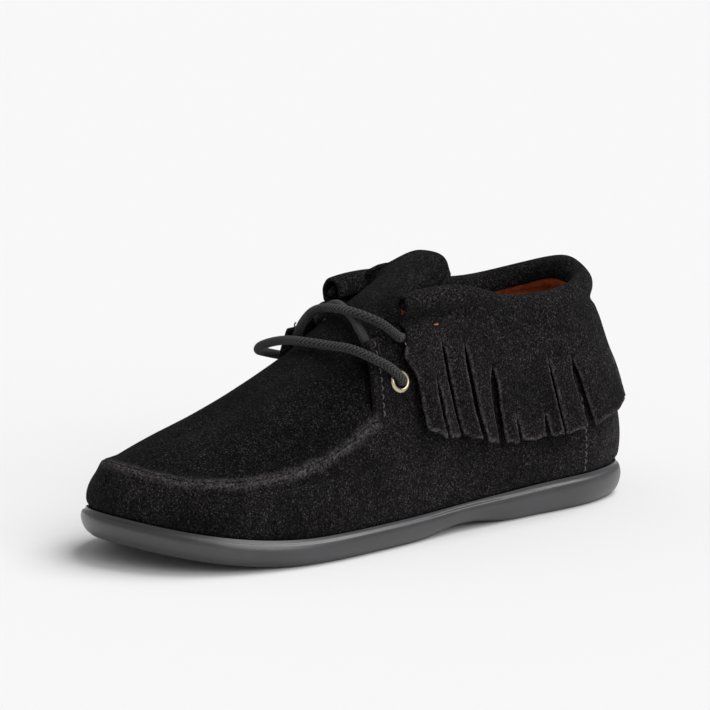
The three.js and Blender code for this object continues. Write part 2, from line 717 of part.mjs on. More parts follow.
// Places of the eyelets on the quarters, each with its axis out of the wall
function eyeletPlace(side, { back, height: heightShare }) {
  const x = facingAt * soleLength - back;
  const height = heightShare * toplineHeight;
  let low = facingRun;
  let high = 1;
  for (let k = 0; k < 30; k += 1) {
    const middle = (low + high) / 2;
    if (wallSection(side, middle).pointAt(height).x > x) low = middle;
    else high = middle;
  }
  const run = (low + high) / 2;
  const section = wallSection(side, run);
  const point = section.pointAt(height);
  const up = section.pointAt(height + 1).sub(section.pointAt(height - 1));
  const behind = wallSection(side, run + 0.01).pointAt(height);
  const ahead = wallSection(side, run - 0.01).pointAt(height);
  const normal = up.clone().cross(ahead.sub(behind)).multiplyScalar(-side).normalize();
  if (normal.y * side < 0) normal.negate();
  point.addScaledVector(normal, facingShift(run));
  const matrix = new THREE.Matrix4().lookAt(normal, new THREE.Vector3(), new THREE.Vector3(0, 0, 1));
  matrix.setPosition(point);
  return { point, normal, matrix };
}

const lowerPair = [1, -1].map((side) => eyeletPlace(side, lowerEyelet));
const upperPair = [1, -1].map((side) => eyeletPlace(side, upperEyelet));

function makeEyelet(place) {
  const bore = boreDiameter / 2;
  const barrel = bore + barrelWall;
  const flange = flangeDiameter / 2;
  const under = clearance;
  const top = under + flangeThickness;
  const foot = -wall - barrelPast;
  const profile = [
    [bore, foot], [barrel, foot], [barrel, under], [flange, under],
    [flange, under + 0.5 * flangeThickness], [0.5 * (flange + bore), top],
    [bore, under + 0.6 * flangeThickness], [bore, foot],
  ].map(([r, h]) => new THREE.Vector2(r, h));
  const ring = new THREE.LatheGeometry(profile, 16).rotateX(Math.PI / 2);
  return fromManifold(toManifold(ring.applyMatrix4(place.matrix)));
}

// A lace along the rows of its table, between the two eyelets of a pair
function makeLace(rows, [outer, inner]) {
  const curve = new THREE.CatmullRomCurve3(rows.map(({ across, along, rise }) => {
    const point = outer.point.clone().lerp(inner.point, across);
    point.x += along * laceDiameter;
    point.z += rise * laceDiameter;
    return point;
  }), false, 'centripetal');
  const section = new THREE.Shape();
  section.absarc(0, 0, laceDiameter / 2, 0, 2 * Math.PI);
  const steps = Math.ceil(curve.getLength() / (laceStep * laceDiameter));
  const settings = { steps, curveSegments: 4, extrudePath: curve, bevelEnabled: false };
  return toManifold(new THREE.ExtrudeGeometry(section, settings));
}

const colours = {
  rubber: { color: 0x2b2c2e, roughness: 0.45, metalness: 0 },
  suede: { color: 0x141314, roughness: 0.95, metalness: 0 },
  lining: { color: 0x9c4a24, roughness: 0.8, metalness: 0 },
  cord: { color: 0x17171a, roughness: 0.8, metalness: 0 },
  brass: { color: 0x8c7d58, roughness: 0.35, metalness: 1 },
};

const boot = new THREE.Group();

function addPiece(name, geometry, finish) {
  const mesh = new THREE.Mesh(geometry, new THREE.MeshStandardMaterial(colours[finish]));
  mesh.name = name;
  boot.add(mesh);
}

addPiece('outsole', makeOutsole(), 'rubber');
addPiece('insole', makeInsole(), 'lining');
addPiece('upper', makeUpper(), 'suede');
addPiece('tongue', makeTongue(), 'suede');
addPiece('collar', makeCollar(), 'suede');
addPiece('fringe', makeFringe(), 'suede');
addPiece('lace_bar', fromManifold(makeLace(barRows, lowerPair)), 'cord');
const crossing = makeLace(overRows, upperPair).add(makeLace(underRows, upperPair));
addPiece('lace_cross', fromManifold(crossing), 'cord');
for (const [k, side] of ['outer', 'inner'].entries()) {
  addPiece(`eyelet_${side}_lower`, makeEyelet(lowerPair[k]), 'brass');
  addPiece(`eyelet_${side}_upper`, makeEyelet(upperPair[k]), 'brass');
}

// The origin goes to the middle of the box that the boot fills, on the floor
const box = new THREE.Box3().setFromObject(boot);
boot.position.set(-(box.min.x + box.max.x) / 2, -(box.min.y + box.max.y) / 2, 0);
boot.updateMatrixWorld(true);

export default boot;
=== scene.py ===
# %% [markdown]
# # A child's fringe ankle boot in black suede
# The boot stands on its sole, toe to the left of the picture. The solid model gives every size and place.
# Its outline, wall and topline come from short tables in millimetres, and the same tables are used here,
# so that each piece of leather can be cut finer and laid exactly where the solid is.

# %% Load the solid model as the frame
import functools
import math

import bpy
import numpy as np
from mathutils import Matrix, Vector, kdtree


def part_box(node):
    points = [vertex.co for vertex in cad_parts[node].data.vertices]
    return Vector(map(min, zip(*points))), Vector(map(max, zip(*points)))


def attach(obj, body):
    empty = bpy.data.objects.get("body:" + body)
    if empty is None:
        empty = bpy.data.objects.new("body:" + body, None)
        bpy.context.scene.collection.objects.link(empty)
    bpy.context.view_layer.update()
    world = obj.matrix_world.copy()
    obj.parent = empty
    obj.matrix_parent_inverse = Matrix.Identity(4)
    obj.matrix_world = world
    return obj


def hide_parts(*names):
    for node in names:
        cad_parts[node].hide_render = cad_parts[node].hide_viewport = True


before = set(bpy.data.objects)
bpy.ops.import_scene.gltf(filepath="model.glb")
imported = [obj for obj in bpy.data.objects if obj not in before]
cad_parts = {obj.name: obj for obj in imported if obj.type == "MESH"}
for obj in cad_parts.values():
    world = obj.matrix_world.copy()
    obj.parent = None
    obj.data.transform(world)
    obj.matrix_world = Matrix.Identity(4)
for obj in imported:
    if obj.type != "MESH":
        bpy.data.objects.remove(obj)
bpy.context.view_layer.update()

# %% [markdown]
# A shoemaker writes a last down as a few numbers: lengths, and tables of shares of those lengths. The
# lengths come first, so that a change of one of them carries through to every piece.

# %% Sizes in millimetres
SOLE_LENGTH, BALL_WIDTH, SOLE_SIDE = 209.0, 80.0, 8.9
HEEL_WEDGE, TOE_SPRING, ARCH_RISE, HEEL_LIFT, SEAT_DEPTH = 2.4, 8.6, 2.4, 2.0, 1.2
GAP, LEATHER, FEATHER_IN, FEATHER_RISE = 0.3, 1.8, 3.2, 1.2
SEAM_HEIGHT, INSTEP_HEIGHT, TOPLINE_HEIGHT = 41.5, 60.5, 72.0
TONGUE_HEIGHT, TONGUE_WIDTH, TONGUE_ROUNDING = 90.0, 39.0, 7.0
ROLL_HEIGHT, ROLL_THICKNESS, FLAP_THICKNESS = 8.6, 7.4, 1.3
FACING_AT, FACING_LEAN, FACING_STEP, FACING_FADE = 0.600, 4.0, 1.1, 30.0
LACE_DIAMETER, CORNER_LIFT, TOE_FULLNESS = 3.1, 2.4, 1.4

# %% [markdown]
# The tables give shares of the lengths at places along the foot. A curve through a table must not swing past
# its rows, so the helper joins them with limited slopes.


# %% Tables and the curve through a table
def table(names, *rows):
    """Rows of numbers under named columns."""
    return {name: np.array(column, float) for name, column in zip(names.split(), zip(*rows))}


def between(rows, key, column, where, level_ends=False):
    """A smooth value between the rows of a table, without overshoot."""
    x, y = rows[key], rows[column]
    step = np.diff(x)
    slope = np.diff(y) / step
    tangent = np.zeros(len(x))
    product, total = slope[:-1] * slope[1:], slope[:-1] + slope[1:]
    tangent[1:-1] = np.where(product > 0, 2 * product / np.where(total == 0, 1, total), 0)
    if not level_ends:
        tangent[0], tangent[-1] = slope[0], slope[-1]
    w = np.asarray(where, float)
    k = np.clip(np.searchsorted(x, w) - 1, 0, len(x) - 2)
    t = np.clip((w - x[k]) / step[k], 0, 1)
    rise = y[k] * (1 + 2 * t) * (1 - t) ** 2 + y[k + 1] * t * t * (3 - 2 * t)
    return rise + step[k] * (tangent[k] * t * (1 - t) ** 2 - tangent[k + 1] * t * t * (1 - t))


def values_at(rows, key, where, level_ends=False):
    """All the columns of a table at a place, except the key's own, by name and in the table's order."""
    return {name: float(between(rows, key, name, where, level_ends)) for name in rows if name != key}


def smooth(x, low, high):
    t = np.clip((np.asarray(x, float) - low) / (high - low), 0, 1)
    return t * t * (3 - 2 * t)


OUTLINE = table(
    "at outer inner",
    (0.000, 0.000, 0.000), (0.012, 0.150, 0.150), (0.048, 0.288, 0.281), (0.134, 0.388, 0.375),
    (0.287, 0.413, 0.369), (0.440, 0.431, 0.350), (0.584, 0.481, 0.419), (0.708, 0.506, 0.488),
    (0.804, 0.481, 0.513), (0.895, 0.388, 0.475), (0.957, 0.238, 0.363), (0.990, 0.050, 0.225),
    (1.000, -0.088, 0.088),
)
WALL = table(
    "run seam seam_in bulge bulge_in",
    (0.00, 0.765, 0.110, 0.25, 0.022), (0.08, 0.712, 0.122, 0.25, 0.023), (0.15, 0.672, 0.118, 0.26, 0.022),
    (0.22, 0.662, 0.110, 0.28, 0.020), (0.28, 0.688, 0.104, 0.30, 0.020), (0.34, 0.758, 0.098, 0.34, 0.022),
    (0.39, 0.860, 0.096, 0.38, 0.026), (0.44, 1.000, 0.094, 0.40, 0.028), (0.52, 1.020, 0.076, 0.42, 0.024),
    (0.60, 1.000, 0.058, 0.42, 0.016), (0.68, 0.990, 0.048, 0.40, 0.013), (0.78, 0.980, 0.044, 0.40, 0.010),
    (0.88, 0.960, 0.042, 0.36, 0.006), (1.00, 0.950, 0.048, 0.34, 0.002),
)
TOPLINE = table(
    "run height outer inner lean",
    (0.28, 0.900, 0.200, 0.150, 0.50), (0.39, 0.900, 0.200, 0.150, 0.38), (0.44, 0.905, 0.205, 0.148, 0.32),
    (0.52, 1.005, 0.152, 0.084, 0.42), (0.60, 1.010, 0.118, 0.056, 0.46), (0.68, 0.932, 0.108, 0.060, 0.47),
    (0.78, 0.908, 0.112, 0.082, 0.47), (0.88, 0.940, 0.138, 0.136, 0.48), (1.00, 0.955, 0.170, 0.170, 0.50),
)
SPINE = table(
    "share at shift height fullness",
    (0.00, 0.885, -0.065, 0.596, 1.15), (0.20, 0.840, -0.055, 0.642, 1.9), (0.40, 0.788, -0.040, 0.704, 2.2),
    (0.60, 0.730, -0.022, 0.790, 2.6), (0.80, 0.670, -0.008, 0.892, 3.3), (1.00, 0.614, 0.000, 1.000, 4.4),
)
TONGUE = table(
    "share at climb width drop",
    (0.00, 0.611, 0.000, 1.10, 0.200), (0.20, 0.562, 0.225, 1.02, 0.200), (0.40, 0.512, 0.426, 0.98, 0.200),
    (0.60, 0.464, 0.616, 0.96, 0.200), (0.80, 0.418, 0.811, 0.95, 0.205), (0.93, 0.388, 0.945, 0.93, 0.210),
    (1.00, 0.374, 1.000, 0.84, 0.200),
)
ROLL = table(
    "share height thickness out",
    (0.00, 0.86, 0.95, 0.52), (0.08, 0.98, 0.97, 0.52), (0.30, 1.00, 1.00, 0.50), (0.60, 0.98, 1.00, 0.42),
    (0.85, 1.20, 1.12, 0.36), (1.00, 1.44, 1.26, 0.36),
)
print("tables:", len(WALL["run"]), "places round the wall")

# %% [markdown]
# The sole's outline is one smooth closed curve. Its outer and inner halves both run from the toe, 0, round
# to the heel, 1, by length along the edge, and every piece is placed by that run.


# %% The outline as two halves
def curve_through(points, count, closed=False, start=0.0, end=1.0):
    """A smooth curve through points, with its tension set by how far apart they stand."""
    points = np.asarray(points, float)
    last = len(points) if closed else len(points) - 1
    if closed:
        around = points
    else:
        around = np.vstack([2 * points[0] - points[1], points, 2 * points[-1] - points[-2]])
    place = np.linspace(start, end, count) * last
    k = np.minimum(place.astype(int), last - 1)
    t = (place - k)[:, None]
    if closed:
        a, b, c, d = (around[(k + shift) % len(points)] for shift in (-1, 0, 1, 2))
    else:
        a, b, c, d = (around[k + shift] for shift in (0, 1, 2, 3))
    first, middle, final = (
        np.maximum(np.linalg.norm(q - p, axis=1, keepdims=True), 1e-6) ** 0.5
        for p, q in ((a, b), (b, c), (c, d))
    )
    leave = ((b - a) / first - (c - a) / (first + middle) + (c - b) / middle) * middle
    arrive = ((c - b) / middle - (d - b) / (middle + final) + (d - c) / final) * middle
    return (
        b * (1 + 2 * t) * (1 - t) ** 2 + c * t * t * (3 - 2 * t)
        + leave * t * (1 - t) ** 2 - arrive * t * t * (1 - t)
    )


def half_outline(side):
    outer = np.column_stack([OUTLINE["at"] * SOLE_LENGTH, OUTLINE["outer"] * BALL_WIDTH])
    inner = np.column_stack([OUTLINE["at"] * SOLE_LENGTH, -OUTLINE["inner"] * BALL_WIDTH])[1:-1][::-1]
    ends = (0.5, 0.0) if side > 0 else (0.5, 1.0)
    loop = np.vstack([outer, inner])
    if side > 0:
        points = curve_through(loop, 301, True, *ends)
    else:
        points = curve_through(loop, 300, True, 0.5, 1 - 0.5 / 300)
        points = np.vstack([points, loop[0]])
    along = np.append(0, np.cumsum(np.linalg.norm(np.diff(points, axis=0), axis=1)))
    turn = np.gradient(points, axis=0)
    inwards = np.column_stack([-turn[:, 1], turn[:, 0]]) * side
    inwards /= np.linalg.norm(inwards, axis=1, keepdims=True)
    inwards[0], inwards[-1] = (-1, 0), (1, 0)
    return {"along": along, "length": along[-1], "points": points, "inwards": inwards}


HALVES = {1: half_outline(1), -1: half_outline(-1)}
EVENED, EVENED_STEPS = 9.0, 30


def bell(reach, steps):
    """Weights that fall off to both sides and add up to 1."""
    weights = np.exp(-0.5 * (np.arange(-steps, steps + 1) / reach) ** 2)
    return weights / weights.sum()


# The direction inwards turns evenly round the whole edge, so that nothing set inwards gets a corner
around = np.vstack([HALVES[1]["inwards"][:-1], HALVES[-1]["inwards"][:0:-1]])
wrapped = np.vstack([around[-EVENED_STEPS:], around, around[:EVENED_STEPS]])
evening = bell(EVENED, EVENED_STEPS)
around = np.column_stack([np.convolve(wrapped[:, k], evening, mode="valid") for k in (0, 1)])
around /= np.linalg.norm(around, axis=1, keepdims=True)
steps_out = len(HALVES[1]["inwards"]) - 1
HALVES[1]["inwards"] = around[:steps_out + 1]
HALVES[-1]["inwards"] = np.vstack([around[:1], around[:steps_out - 1:-1]])


def edge(side, run):
    """Point of the outline at a run, and the direction inwards."""
    half = HALVES[side]
    at = np.clip(run, 0, 1) * half["length"]
    place = [np.interp(at, half["along"], half["points"][:, k]) for k in (0, 1)]
    inwards = [np.interp(at, half["along"], half["inwards"][:, k]) for k in (0, 1)]
    size = np.hypot(*inwards)
    return place[0], place[1], inwards[0] / size, inwards[1] / size


def run_at(side, x):
    half = HALVES[side]
    return half["along"][np.argmax(half["points"][:, 0] <= x)] / half["length"]


FACING_RUN = run_at(1, FACING_AT * SOLE_LENGTH)
print("outline halves:", round(HALVES[1]["length"], 1), "and", round(HALVES[-1]["length"], 1), "mm")

# %% [markdown]
# The sole's underside and rim aren't flat: the toe springs up, the arch lifts, the heel's edge is rounded
# off, and a low wedge raises the heel. Each height is a plain function of the place along the foot, because
# all the pieces above have to follow it.


# %% Heights along the sole
def spring_height(x):
    return TOE_SPRING * (np.maximum(0, x / SOLE_LENGTH - 0.72) / 0.28) ** 2


def tread_height(x):
    in_arch = np.clip((x / SOLE_LENGTH - 0.30) / 0.24, 0, 1)
    lift = HEEL_LIFT * (np.maximum(0, 0.06 - x / SOLE_LENGTH) / 0.06) ** 2
    return spring_height(x) + ARCH_RISE * np.sin(np.pi * in_arch) ** 2 + lift


def rim_height(x):
    return spring_height(x) + SOLE_SIDE + HEEL_WEDGE * (1 - smooth(x / SOLE_LENGTH, 0.16, 0.54))


def seat_height(x):
    return rim_height(x) - SEAT_DEPTH


print("rim at heel and toe:", rim_height(0.0), rim_height(SOLE_LENGTH), "mm")


# %% [markdown]
# The wall of the upper is a family of upright curves, one for each run: tucked under at the feather edge,
# full at the bulge, in again at the seam and leaning in to the topline.


# %% The wall of the upper
@functools.lru_cache(maxsize=None)
def section(side, run):
    low, high = (values_at(rows, "run", run, True) for rows in (WALL, TOPLINE))
    x, y, inx, iny = edge(side, run)
    foot = float(seat_height(x + inx * FEATHER_IN)) + GAP
    seam, top = low["seam"] * SEAM_HEIGHT, high["height"] * TOPLINE_HEIGHT
    if side > 0:
        top += CORNER_LIFT * (1 - float(smooth(run, 0.44, 0.50)))
    own, other = (high["outer"], high["inner"])[::side]
    alike = 0.5 * (1 - float(smooth(run, 0.0, 0.28)))
    top_in = (own + (other - own) * alike) * BALL_WIDTH
    seam_in = low["seam_in"] * BALL_WIDTH - TOE_FULLNESS * (1 - float(smooth(run, 0.10, 0.26)))
    if run > FACING_RUN:
        seam_in = min(seam_in, 0.75 * top_in)
    bulge_in = low["bulge_in"] * BALL_WIDTH
    bulge = foot + low["bulge"] * (seam - foot)
    rows = table(
        "z inset",
        (foot, FEATHER_IN),
        (foot + FEATHER_RISE, FEATHER_IN + 0.15 * (bulge_in - FEATHER_IN)),
        (foot + 2 * FEATHER_RISE, FEATHER_IN + 0.75 * (bulge_in - FEATHER_IN)),
        (bulge, bulge_in),
        (seam, seam_in),
        (0.5 * (seam + top), seam_in + high["lean"] * (top_in - seam_in)),
        (top, top_in),
    )
    return {"foot": foot, "seam": seam, "top": top, "top_in": top_in, "rows": rows}


def level_point(side, run, inset, z):
    x, y, inx, iny = edge(side, run)
    inset, z = np.broadcast_arrays(np.asarray(inset, float), np.asarray(z, float))
    return np.column_stack([x + inx * inset, y + iny * inset, z])


def wall_point(side, run, z, out=0.0):
    """Points of the wall at heights z, moved outwards by out."""
    s = section(side, run)
    z = np.atleast_1d(np.asarray(z, float))
    points = level_point(side, run, between(s["rows"], "z", "inset", z) - out, z)
    lean = FACING_LEAN * np.clip(1 - (run - FACING_RUN) / 0.12, 0, 1)
    points[:, 0] -= lean * np.clip((z - s["seam"]) / (s["top"] - s["seam"]), 0, 1) ** 1.6
    return points


def facing_shift(side, run):
    """The quarter's front edge stands over the apron and eases back into the wall behind it."""
    behind = (run - FACING_RUN) * HALVES[side]["length"]
    return FACING_STEP * np.clip(1 - behind / FACING_FADE, 0, 1)


print("topline behind the throat:", round(section(1, 0.6)["top"], 1), "mm")

# %% [markdown]
# The solid's box is centred on the floor, so the tables' millimetres are moved by where the sole's heel and
# its outer side lie in the frame.

# %% From the tables' millimetres to the frame
sole_low, sole_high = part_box("outsole")
widest = HALVES[1]["points"][:, 1].max()
SHIFT = np.array([sole_low.x * 1000, sole_high.y * 1000 - widest, 0.0])


def to_frame(points):
    return (np.asarray(points, float) + SHIFT) * 0.001


print("shift of the tables in the frame:", SHIFT.round(3), "mm")

# %% [markdown]
# The camera's place, lens and shift are those at which the solid's outline falls on the outline in the
# photograph. It is turned by three directions: to the right, up, and back from the boot to the camera.

# %% Camera
# Millimetres for the distance and the film's width, pixels of the photograph for the rest
AZIMUTH, ELEVATION, ROLL_ANGLE = math.radians(38.602), math.radians(10.934), math.radians(0.422)
DISTANCE, FILM_WIDTH = 1197.516, 36.0
FOCAL_PIXELS, PICTURE, SHIFT_RIGHT, SHIFT_UP = 3583.0, 710.0, -10.664, 35.052
aim = to_frame([104.5, 0.0, 45.0])
back = np.array([
    math.sin(AZIMUTH) * math.cos(ELEVATION), math.cos(AZIMUTH) * math.cos(ELEVATION), math.sin(ELEVATION)
])
level = np.array([-math.cos(AZIMUTH), math.sin(AZIMUTH), 0.0])
upright = np.cross(back, level)
right = level * math.cos(ROLL_ANGLE) - upright * math.sin(ROLL_ANGLE)
up = level * math.sin(ROLL_ANGLE) + upright * math.cos(ROLL_ANGLE)
eye = aim + back * DISTANCE * 0.001
bpy.ops.object.select_all(action="DESELECT")
bpy.ops.object.camera_add()
camera = bpy.context.object
camera.name = "camera"
turned_to = [[*row, place] for row, place in zip(np.column_stack([right, up, back]), eye)]
camera.matrix_world = Matrix(turned_to + [[0, 0, 0, 1]])
camera.data.sensor_width = FILM_WIDTH
camera.data.lens = FOCAL_PIXELS * FILM_WIDTH / PICTURE
camera.data.shift_x = SHIFT_RIGHT / PICTURE
camera.data.shift_y = SHIFT_UP / PICTURE
camera.data.clip_end = 50.0
bpy.context.scene.camera = camera
print("camera lens:", round(camera.data.lens, 1), "mm")

# %% [markdown]
# Each soft piece starts as the shoemaker's does, as a flat cut: a grid primitive, whose points are then laid
# on the last by a function of the two directions of the cut. A wall gets its thickness with Solidify.


# %% Laying a flat cut on the last
def lay(name, across, along, place):
    """A flat grid whose column at u is laid on the points place(u, all v); edges that meet are sewn."""
    bpy.ops.object.select_all(action="DESELECT")
    bpy.ops.mesh.primitive_grid_add(x_subdivisions=across, y_subdivisions=along, size=1.0)
    piece = bpy.context.object
    piece.name = piece.data.name = name
    flat = np.empty(len(piece.data.vertices) * 3)
    piece.data.vertices.foreach_get("co", flat)
    flat = flat.reshape(-1, 3)
    i = np.rint((flat[:, 0] + 0.5) * across).astype(int)
    j = np.rint((flat[:, 1] + 0.5) * along).astype(int)
    rows = np.linspace(0, 1, along + 1)
    laid = np.array([place(u, rows) for u in np.linspace(0, 1, across + 1)])
    piece.data.vertices.foreach_set("co", to_frame(laid[i, j]).ravel())
    piece.data.update()
    sew([piece])
    return piece


def sew(pieces, reach=2e-5):
    """Joins pieces into the first and merges the points that lie on each other."""
    bpy.ops.object.select_all(action="DESELECT")
    for piece in pieces:
        piece.select_set(True)
    bpy.context.view_layer.objects.active = pieces[0]
    if len(pieces) > 1:
        bpy.ops.object.join()
    bpy.ops.object.mode_set(mode="EDIT")
    bpy.ops.mesh.select_all(action="SELECT")
    bpy.ops.mesh.remove_doubles(threshold=reach)
    bpy.ops.mesh.normals_make_consistent(inside=False)
    bpy.ops.object.mode_set(mode="OBJECT")
    return pieces[0]


def face_out(piece):
    """Turns the faces so that they look away from the middle line of the foot."""
    mesh = piece.data
    count = len(mesh.polygons)
    centre, normal, area = np.empty(count * 3), np.empty(count * 3), np.empty(count)
    mesh.polygons.foreach_get("center", centre)
    mesh.polygons.foreach_get("normal", normal)
    mesh.polygons.foreach_get("area", area)
    centre, normal = centre.reshape(-1, 3), normal.reshape(-1, 3)
    middle = np.column_stack([np.clip(centre[:, 0], -0.070, 0.070), np.zeros(count), np.full(count, 0.030)])
    if (((centre - middle) * normal).sum(1) * area).sum() < 0:
        mesh.flip_normals()
    return piece


def give(piece, kind, **settings):
    """Adds a modifier and applies it."""
    bpy.ops.object.select_all(action="DESELECT")
    piece.select_set(True)
    bpy.context.view_layer.objects.active = piece
    modifier = piece.modifiers.new(kind.title(), kind)
    for name, value in settings.items():
        setattr(modifier, name, value)
    bpy.ops.object.modifier_apply(modifier=modifier.name)
    return piece


def thicken(piece, thickness):
    return give(face_out(piece), "SOLIDIFY", thickness=thickness * 0.001, offset=-1.0, use_rim=True)


def soften(piece, levels=1):
    give(piece, "SUBSURF", levels=levels, render_levels=levels)
    bpy.ops.object.shade_smooth()
    return piece


def settle(piece, material, slot, *nodes):
    """Gives the piece its finish and its place in the frame."""
    piece.data.materials.clear()
    piece.data.materials.append(material)
    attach(piece, "root")
    if nodes:
        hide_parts(*nodes)
    print(piece.name, "faces:", len(piece.data.polygons))
    return piece


# %% [markdown]
# ## Finishes
# Each finish that several materials share is a node group: it works out colour, roughness and the small
# relief, and the material's own shader takes them. The helpers below keep the wiring short.


# %% Node helpers
def node(tree, kind, inputs=None, **settings):
    made = tree.nodes.new(kind)
    for name, value in settings.items():
        setattr(made, name, value)
    for name, value in (inputs or {}).items():
        if isinstance(value, bpy.types.NodeSocket):
            tree.links.new(value, made.inputs[name])
        else:
            made.inputs[name].default_value = value
    return made


def maths(tree, operation, a, b=0.0, clamp=False):
    return node(tree, "ShaderNodeMath", {0: a, 1: b}, operation=operation, use_clamp=clamp).outputs[0]


def spread(tree, value, low, high, to_low=0.0, to_high=1.0):
    inputs = {"Value": value, "From Min": low, "From Max": high, "To Min": to_low, "To Max": to_high}
    return node(tree, "ShaderNodeMapRange", inputs).outputs[0]


def mixed(tree, share, low, high):
    return node(tree, "ShaderNodeMix", {0: share, 6: low, 7: high}, data_type="RGBA").outputs[2]


def grain(tree, scale, detail, roughness=0.6, distortion=0.0):
    """Noise on the object's own coordinates."""
    place = tree.nodes.new("ShaderNodeTexCoord").outputs["Object"]
    inputs = {"Vector": place, "Scale": scale, "Detail": detail}
    inputs.update(Roughness=roughness, Distortion=distortion)
    return node(tree, "ShaderNodeTexNoise", inputs).outputs["Fac"]


def finish_group(name, **inputs):
    """A node group with its inputs, and the outputs that every finish gives."""
    tree = bpy.data.node_groups.new(name, "ShaderNodeTree")
    for label, value in inputs.items():
        kind = "NodeSocketColor" if isinstance(value, tuple) else "NodeSocketFloat"
        made = tree.interface.new_socket(label.replace("_", " "), in_out="INPUT", socket_type=kind)
        made.default_value = (*value, 1.0) if isinstance(value, tuple) else value
    for label, kind in (("Colour", "Color"), ("Roughness", "Float"), ("Normal", "Vector")):
        tree.interface.new_socket(label, in_out="OUTPUT", socket_type="NodeSocket" + kind)
    return tree, tree.nodes.new("NodeGroupInput").outputs, tree.nodes.new("NodeGroupOutput").inputs


def finish(name, group, values=None, reads=None, **principled):
    """A Principled material that takes colour, roughness and normal from a group."""
    material = bpy.data.materials.new(name)
    material.use_nodes = True
    tree = material.node_tree
    tree.nodes.clear()
    effect = node(tree, "ShaderNodeGroup", node_tree=group)
    for label, value in (values or {}).items():
        effect.inputs[label].default_value = (*value, 1.0) if isinstance(value, tuple) else value
    for label, attribute in (reads or {}).items():
        source = node(tree, "ShaderNodeAttribute", attribute_name=attribute)
        tree.links.new(source.outputs["Fac"], effect.inputs[label])
    values = {label.replace("_", " "): value for label, value in principled.items()}
    shader = node(tree, "ShaderNodeBsdfPrincipled", values)
    for output, target in (("Colour", "Base Color"), ("Roughness", "Roughness"), ("Normal", "Normal")):
        tree.links.new(effect.outputs[output], shader.inputs[target])
    tree.links.new(shader.outputs[0], tree.nodes.new("ShaderNodeOutputMaterial").inputs["Surface"])
    return material


# %% [markdown]
# Suede is leather with its fibres brushed up. It has no gloss of its own: light catches the fibre ends as
# a pale sheen, the fibres lie in brushed patches, and single ends show as specks. Where the nap is rubbed
# or cut, more of the pale fibre ends show. The same paling also paints light: a painted highlight along the
# seam's ridge and a painted sheen at the heel and the tongue's middle.

# %% Suede nap
nap, given, result = finish_group(
    "suede_nap", Dark=(0.0016, 0.0015, 0.0016), Light=(0.0150, 0.0138, 0.0142), Speck=(0.115, 0.105, 0.106),
    Fibre_Scale=1250.0, Speck_Share=0.60, Depth=0.0009, Rub=0.0,
)
fibres = grain(nap, given["Fibre Scale"], 2.0, 0.75)
ends = grain(nap, maths(nap, "MULTIPLY", given["Fibre Scale"], 1.45), 1.0, 0.8)
patches = grain(nap, 48.0, 3.0, 0.55, 0.6)
strokes = grain(nap, 330.0, 3.0)
lie = spread(nap, maths(nap, "ADD", patches, strokes), 0.70, 1.30, 0.25, 1.0)
# Paler nap from the piece's number: rubbed and cut nap, a painted highlight on the seam's ridge and painted
# sheen at the heel and tongue
wear_sheen_mask = maths(nap, "MULTIPLY", given["Rub"], spread(nap, strokes, 0.30, 0.62, 0.45, 1.0))
raised_fibres = maths(nap, "MULTIPLY", lie, spread(nap, fibres, 0.38, 0.60))
body = mixed(nap, raised_fibres, given["Dark"], given["Light"])
fleck = maths(nap, "MULTIPLY", spread(nap, ends, 0.55, 0.70), given["Speck Share"], True)
flecked = mixed(nap, maths(nap, "MULTIPLY", fleck, lie), body, given["Speck"])
worn_and_sheened = maths(nap, "MULTIPLY", wear_sheen_mask, spread(nap, fibres, 0.40, 0.66, 0.10, 1.0), True)
nap.links.new(mixed(nap, worn_and_sheened, flecked, given["Speck"]), result["Colour"])
nap.links.new(spread(nap, patches, 0.0, 1.0, 0.82, 1.0), result["Roughness"])
relief = maths(nap, "ADD", maths(nap, "MULTIPLY", strokes, 0.7), fibres)
raised = node(nap, "ShaderNodeBump", {"Height": relief, "Distance": given["Depth"]})
nap.links.new(raised.outputs[0], result["Normal"])
suede = finish(
    "black_suede", nap, reads={"Rub": "wear_and_sheen"}, Sheen_Weight=0.02, Sheen_Roughness=0.5,
    Sheen_Tint=(0.80, 0.76, 0.80, 1), Specular_IOR_Level=0.04,
)
# A darker copy of the suede for the apron and the tongue: painted shade
shaded_apron_suede = finish(
    "black_suede_apron_painted_shade", nap,
    {"Dark": (0.0011, 0.0011, 0.0012), "Light": (0.0088, 0.0082, 0.0088), "Speck": (0.088, 0.082, 0.084)},
    reads={"Rub": "wear_and_sheen"}, Sheen_Weight=0.015, Sheen_Roughness=0.5, Sheen_Tint=(0.80, 0.76, 0.80, 1),
    Specular_IOR_Level=0.03,
)
print("suede inputs:", list(given.keys()))

# %% [markdown]
# Moulded rubber, the thin lining, the brass of the eyelets and the thread are each one even body with faint
# flow marks and a fine grain, so one group serves them with their own colours, grain and smoothness.

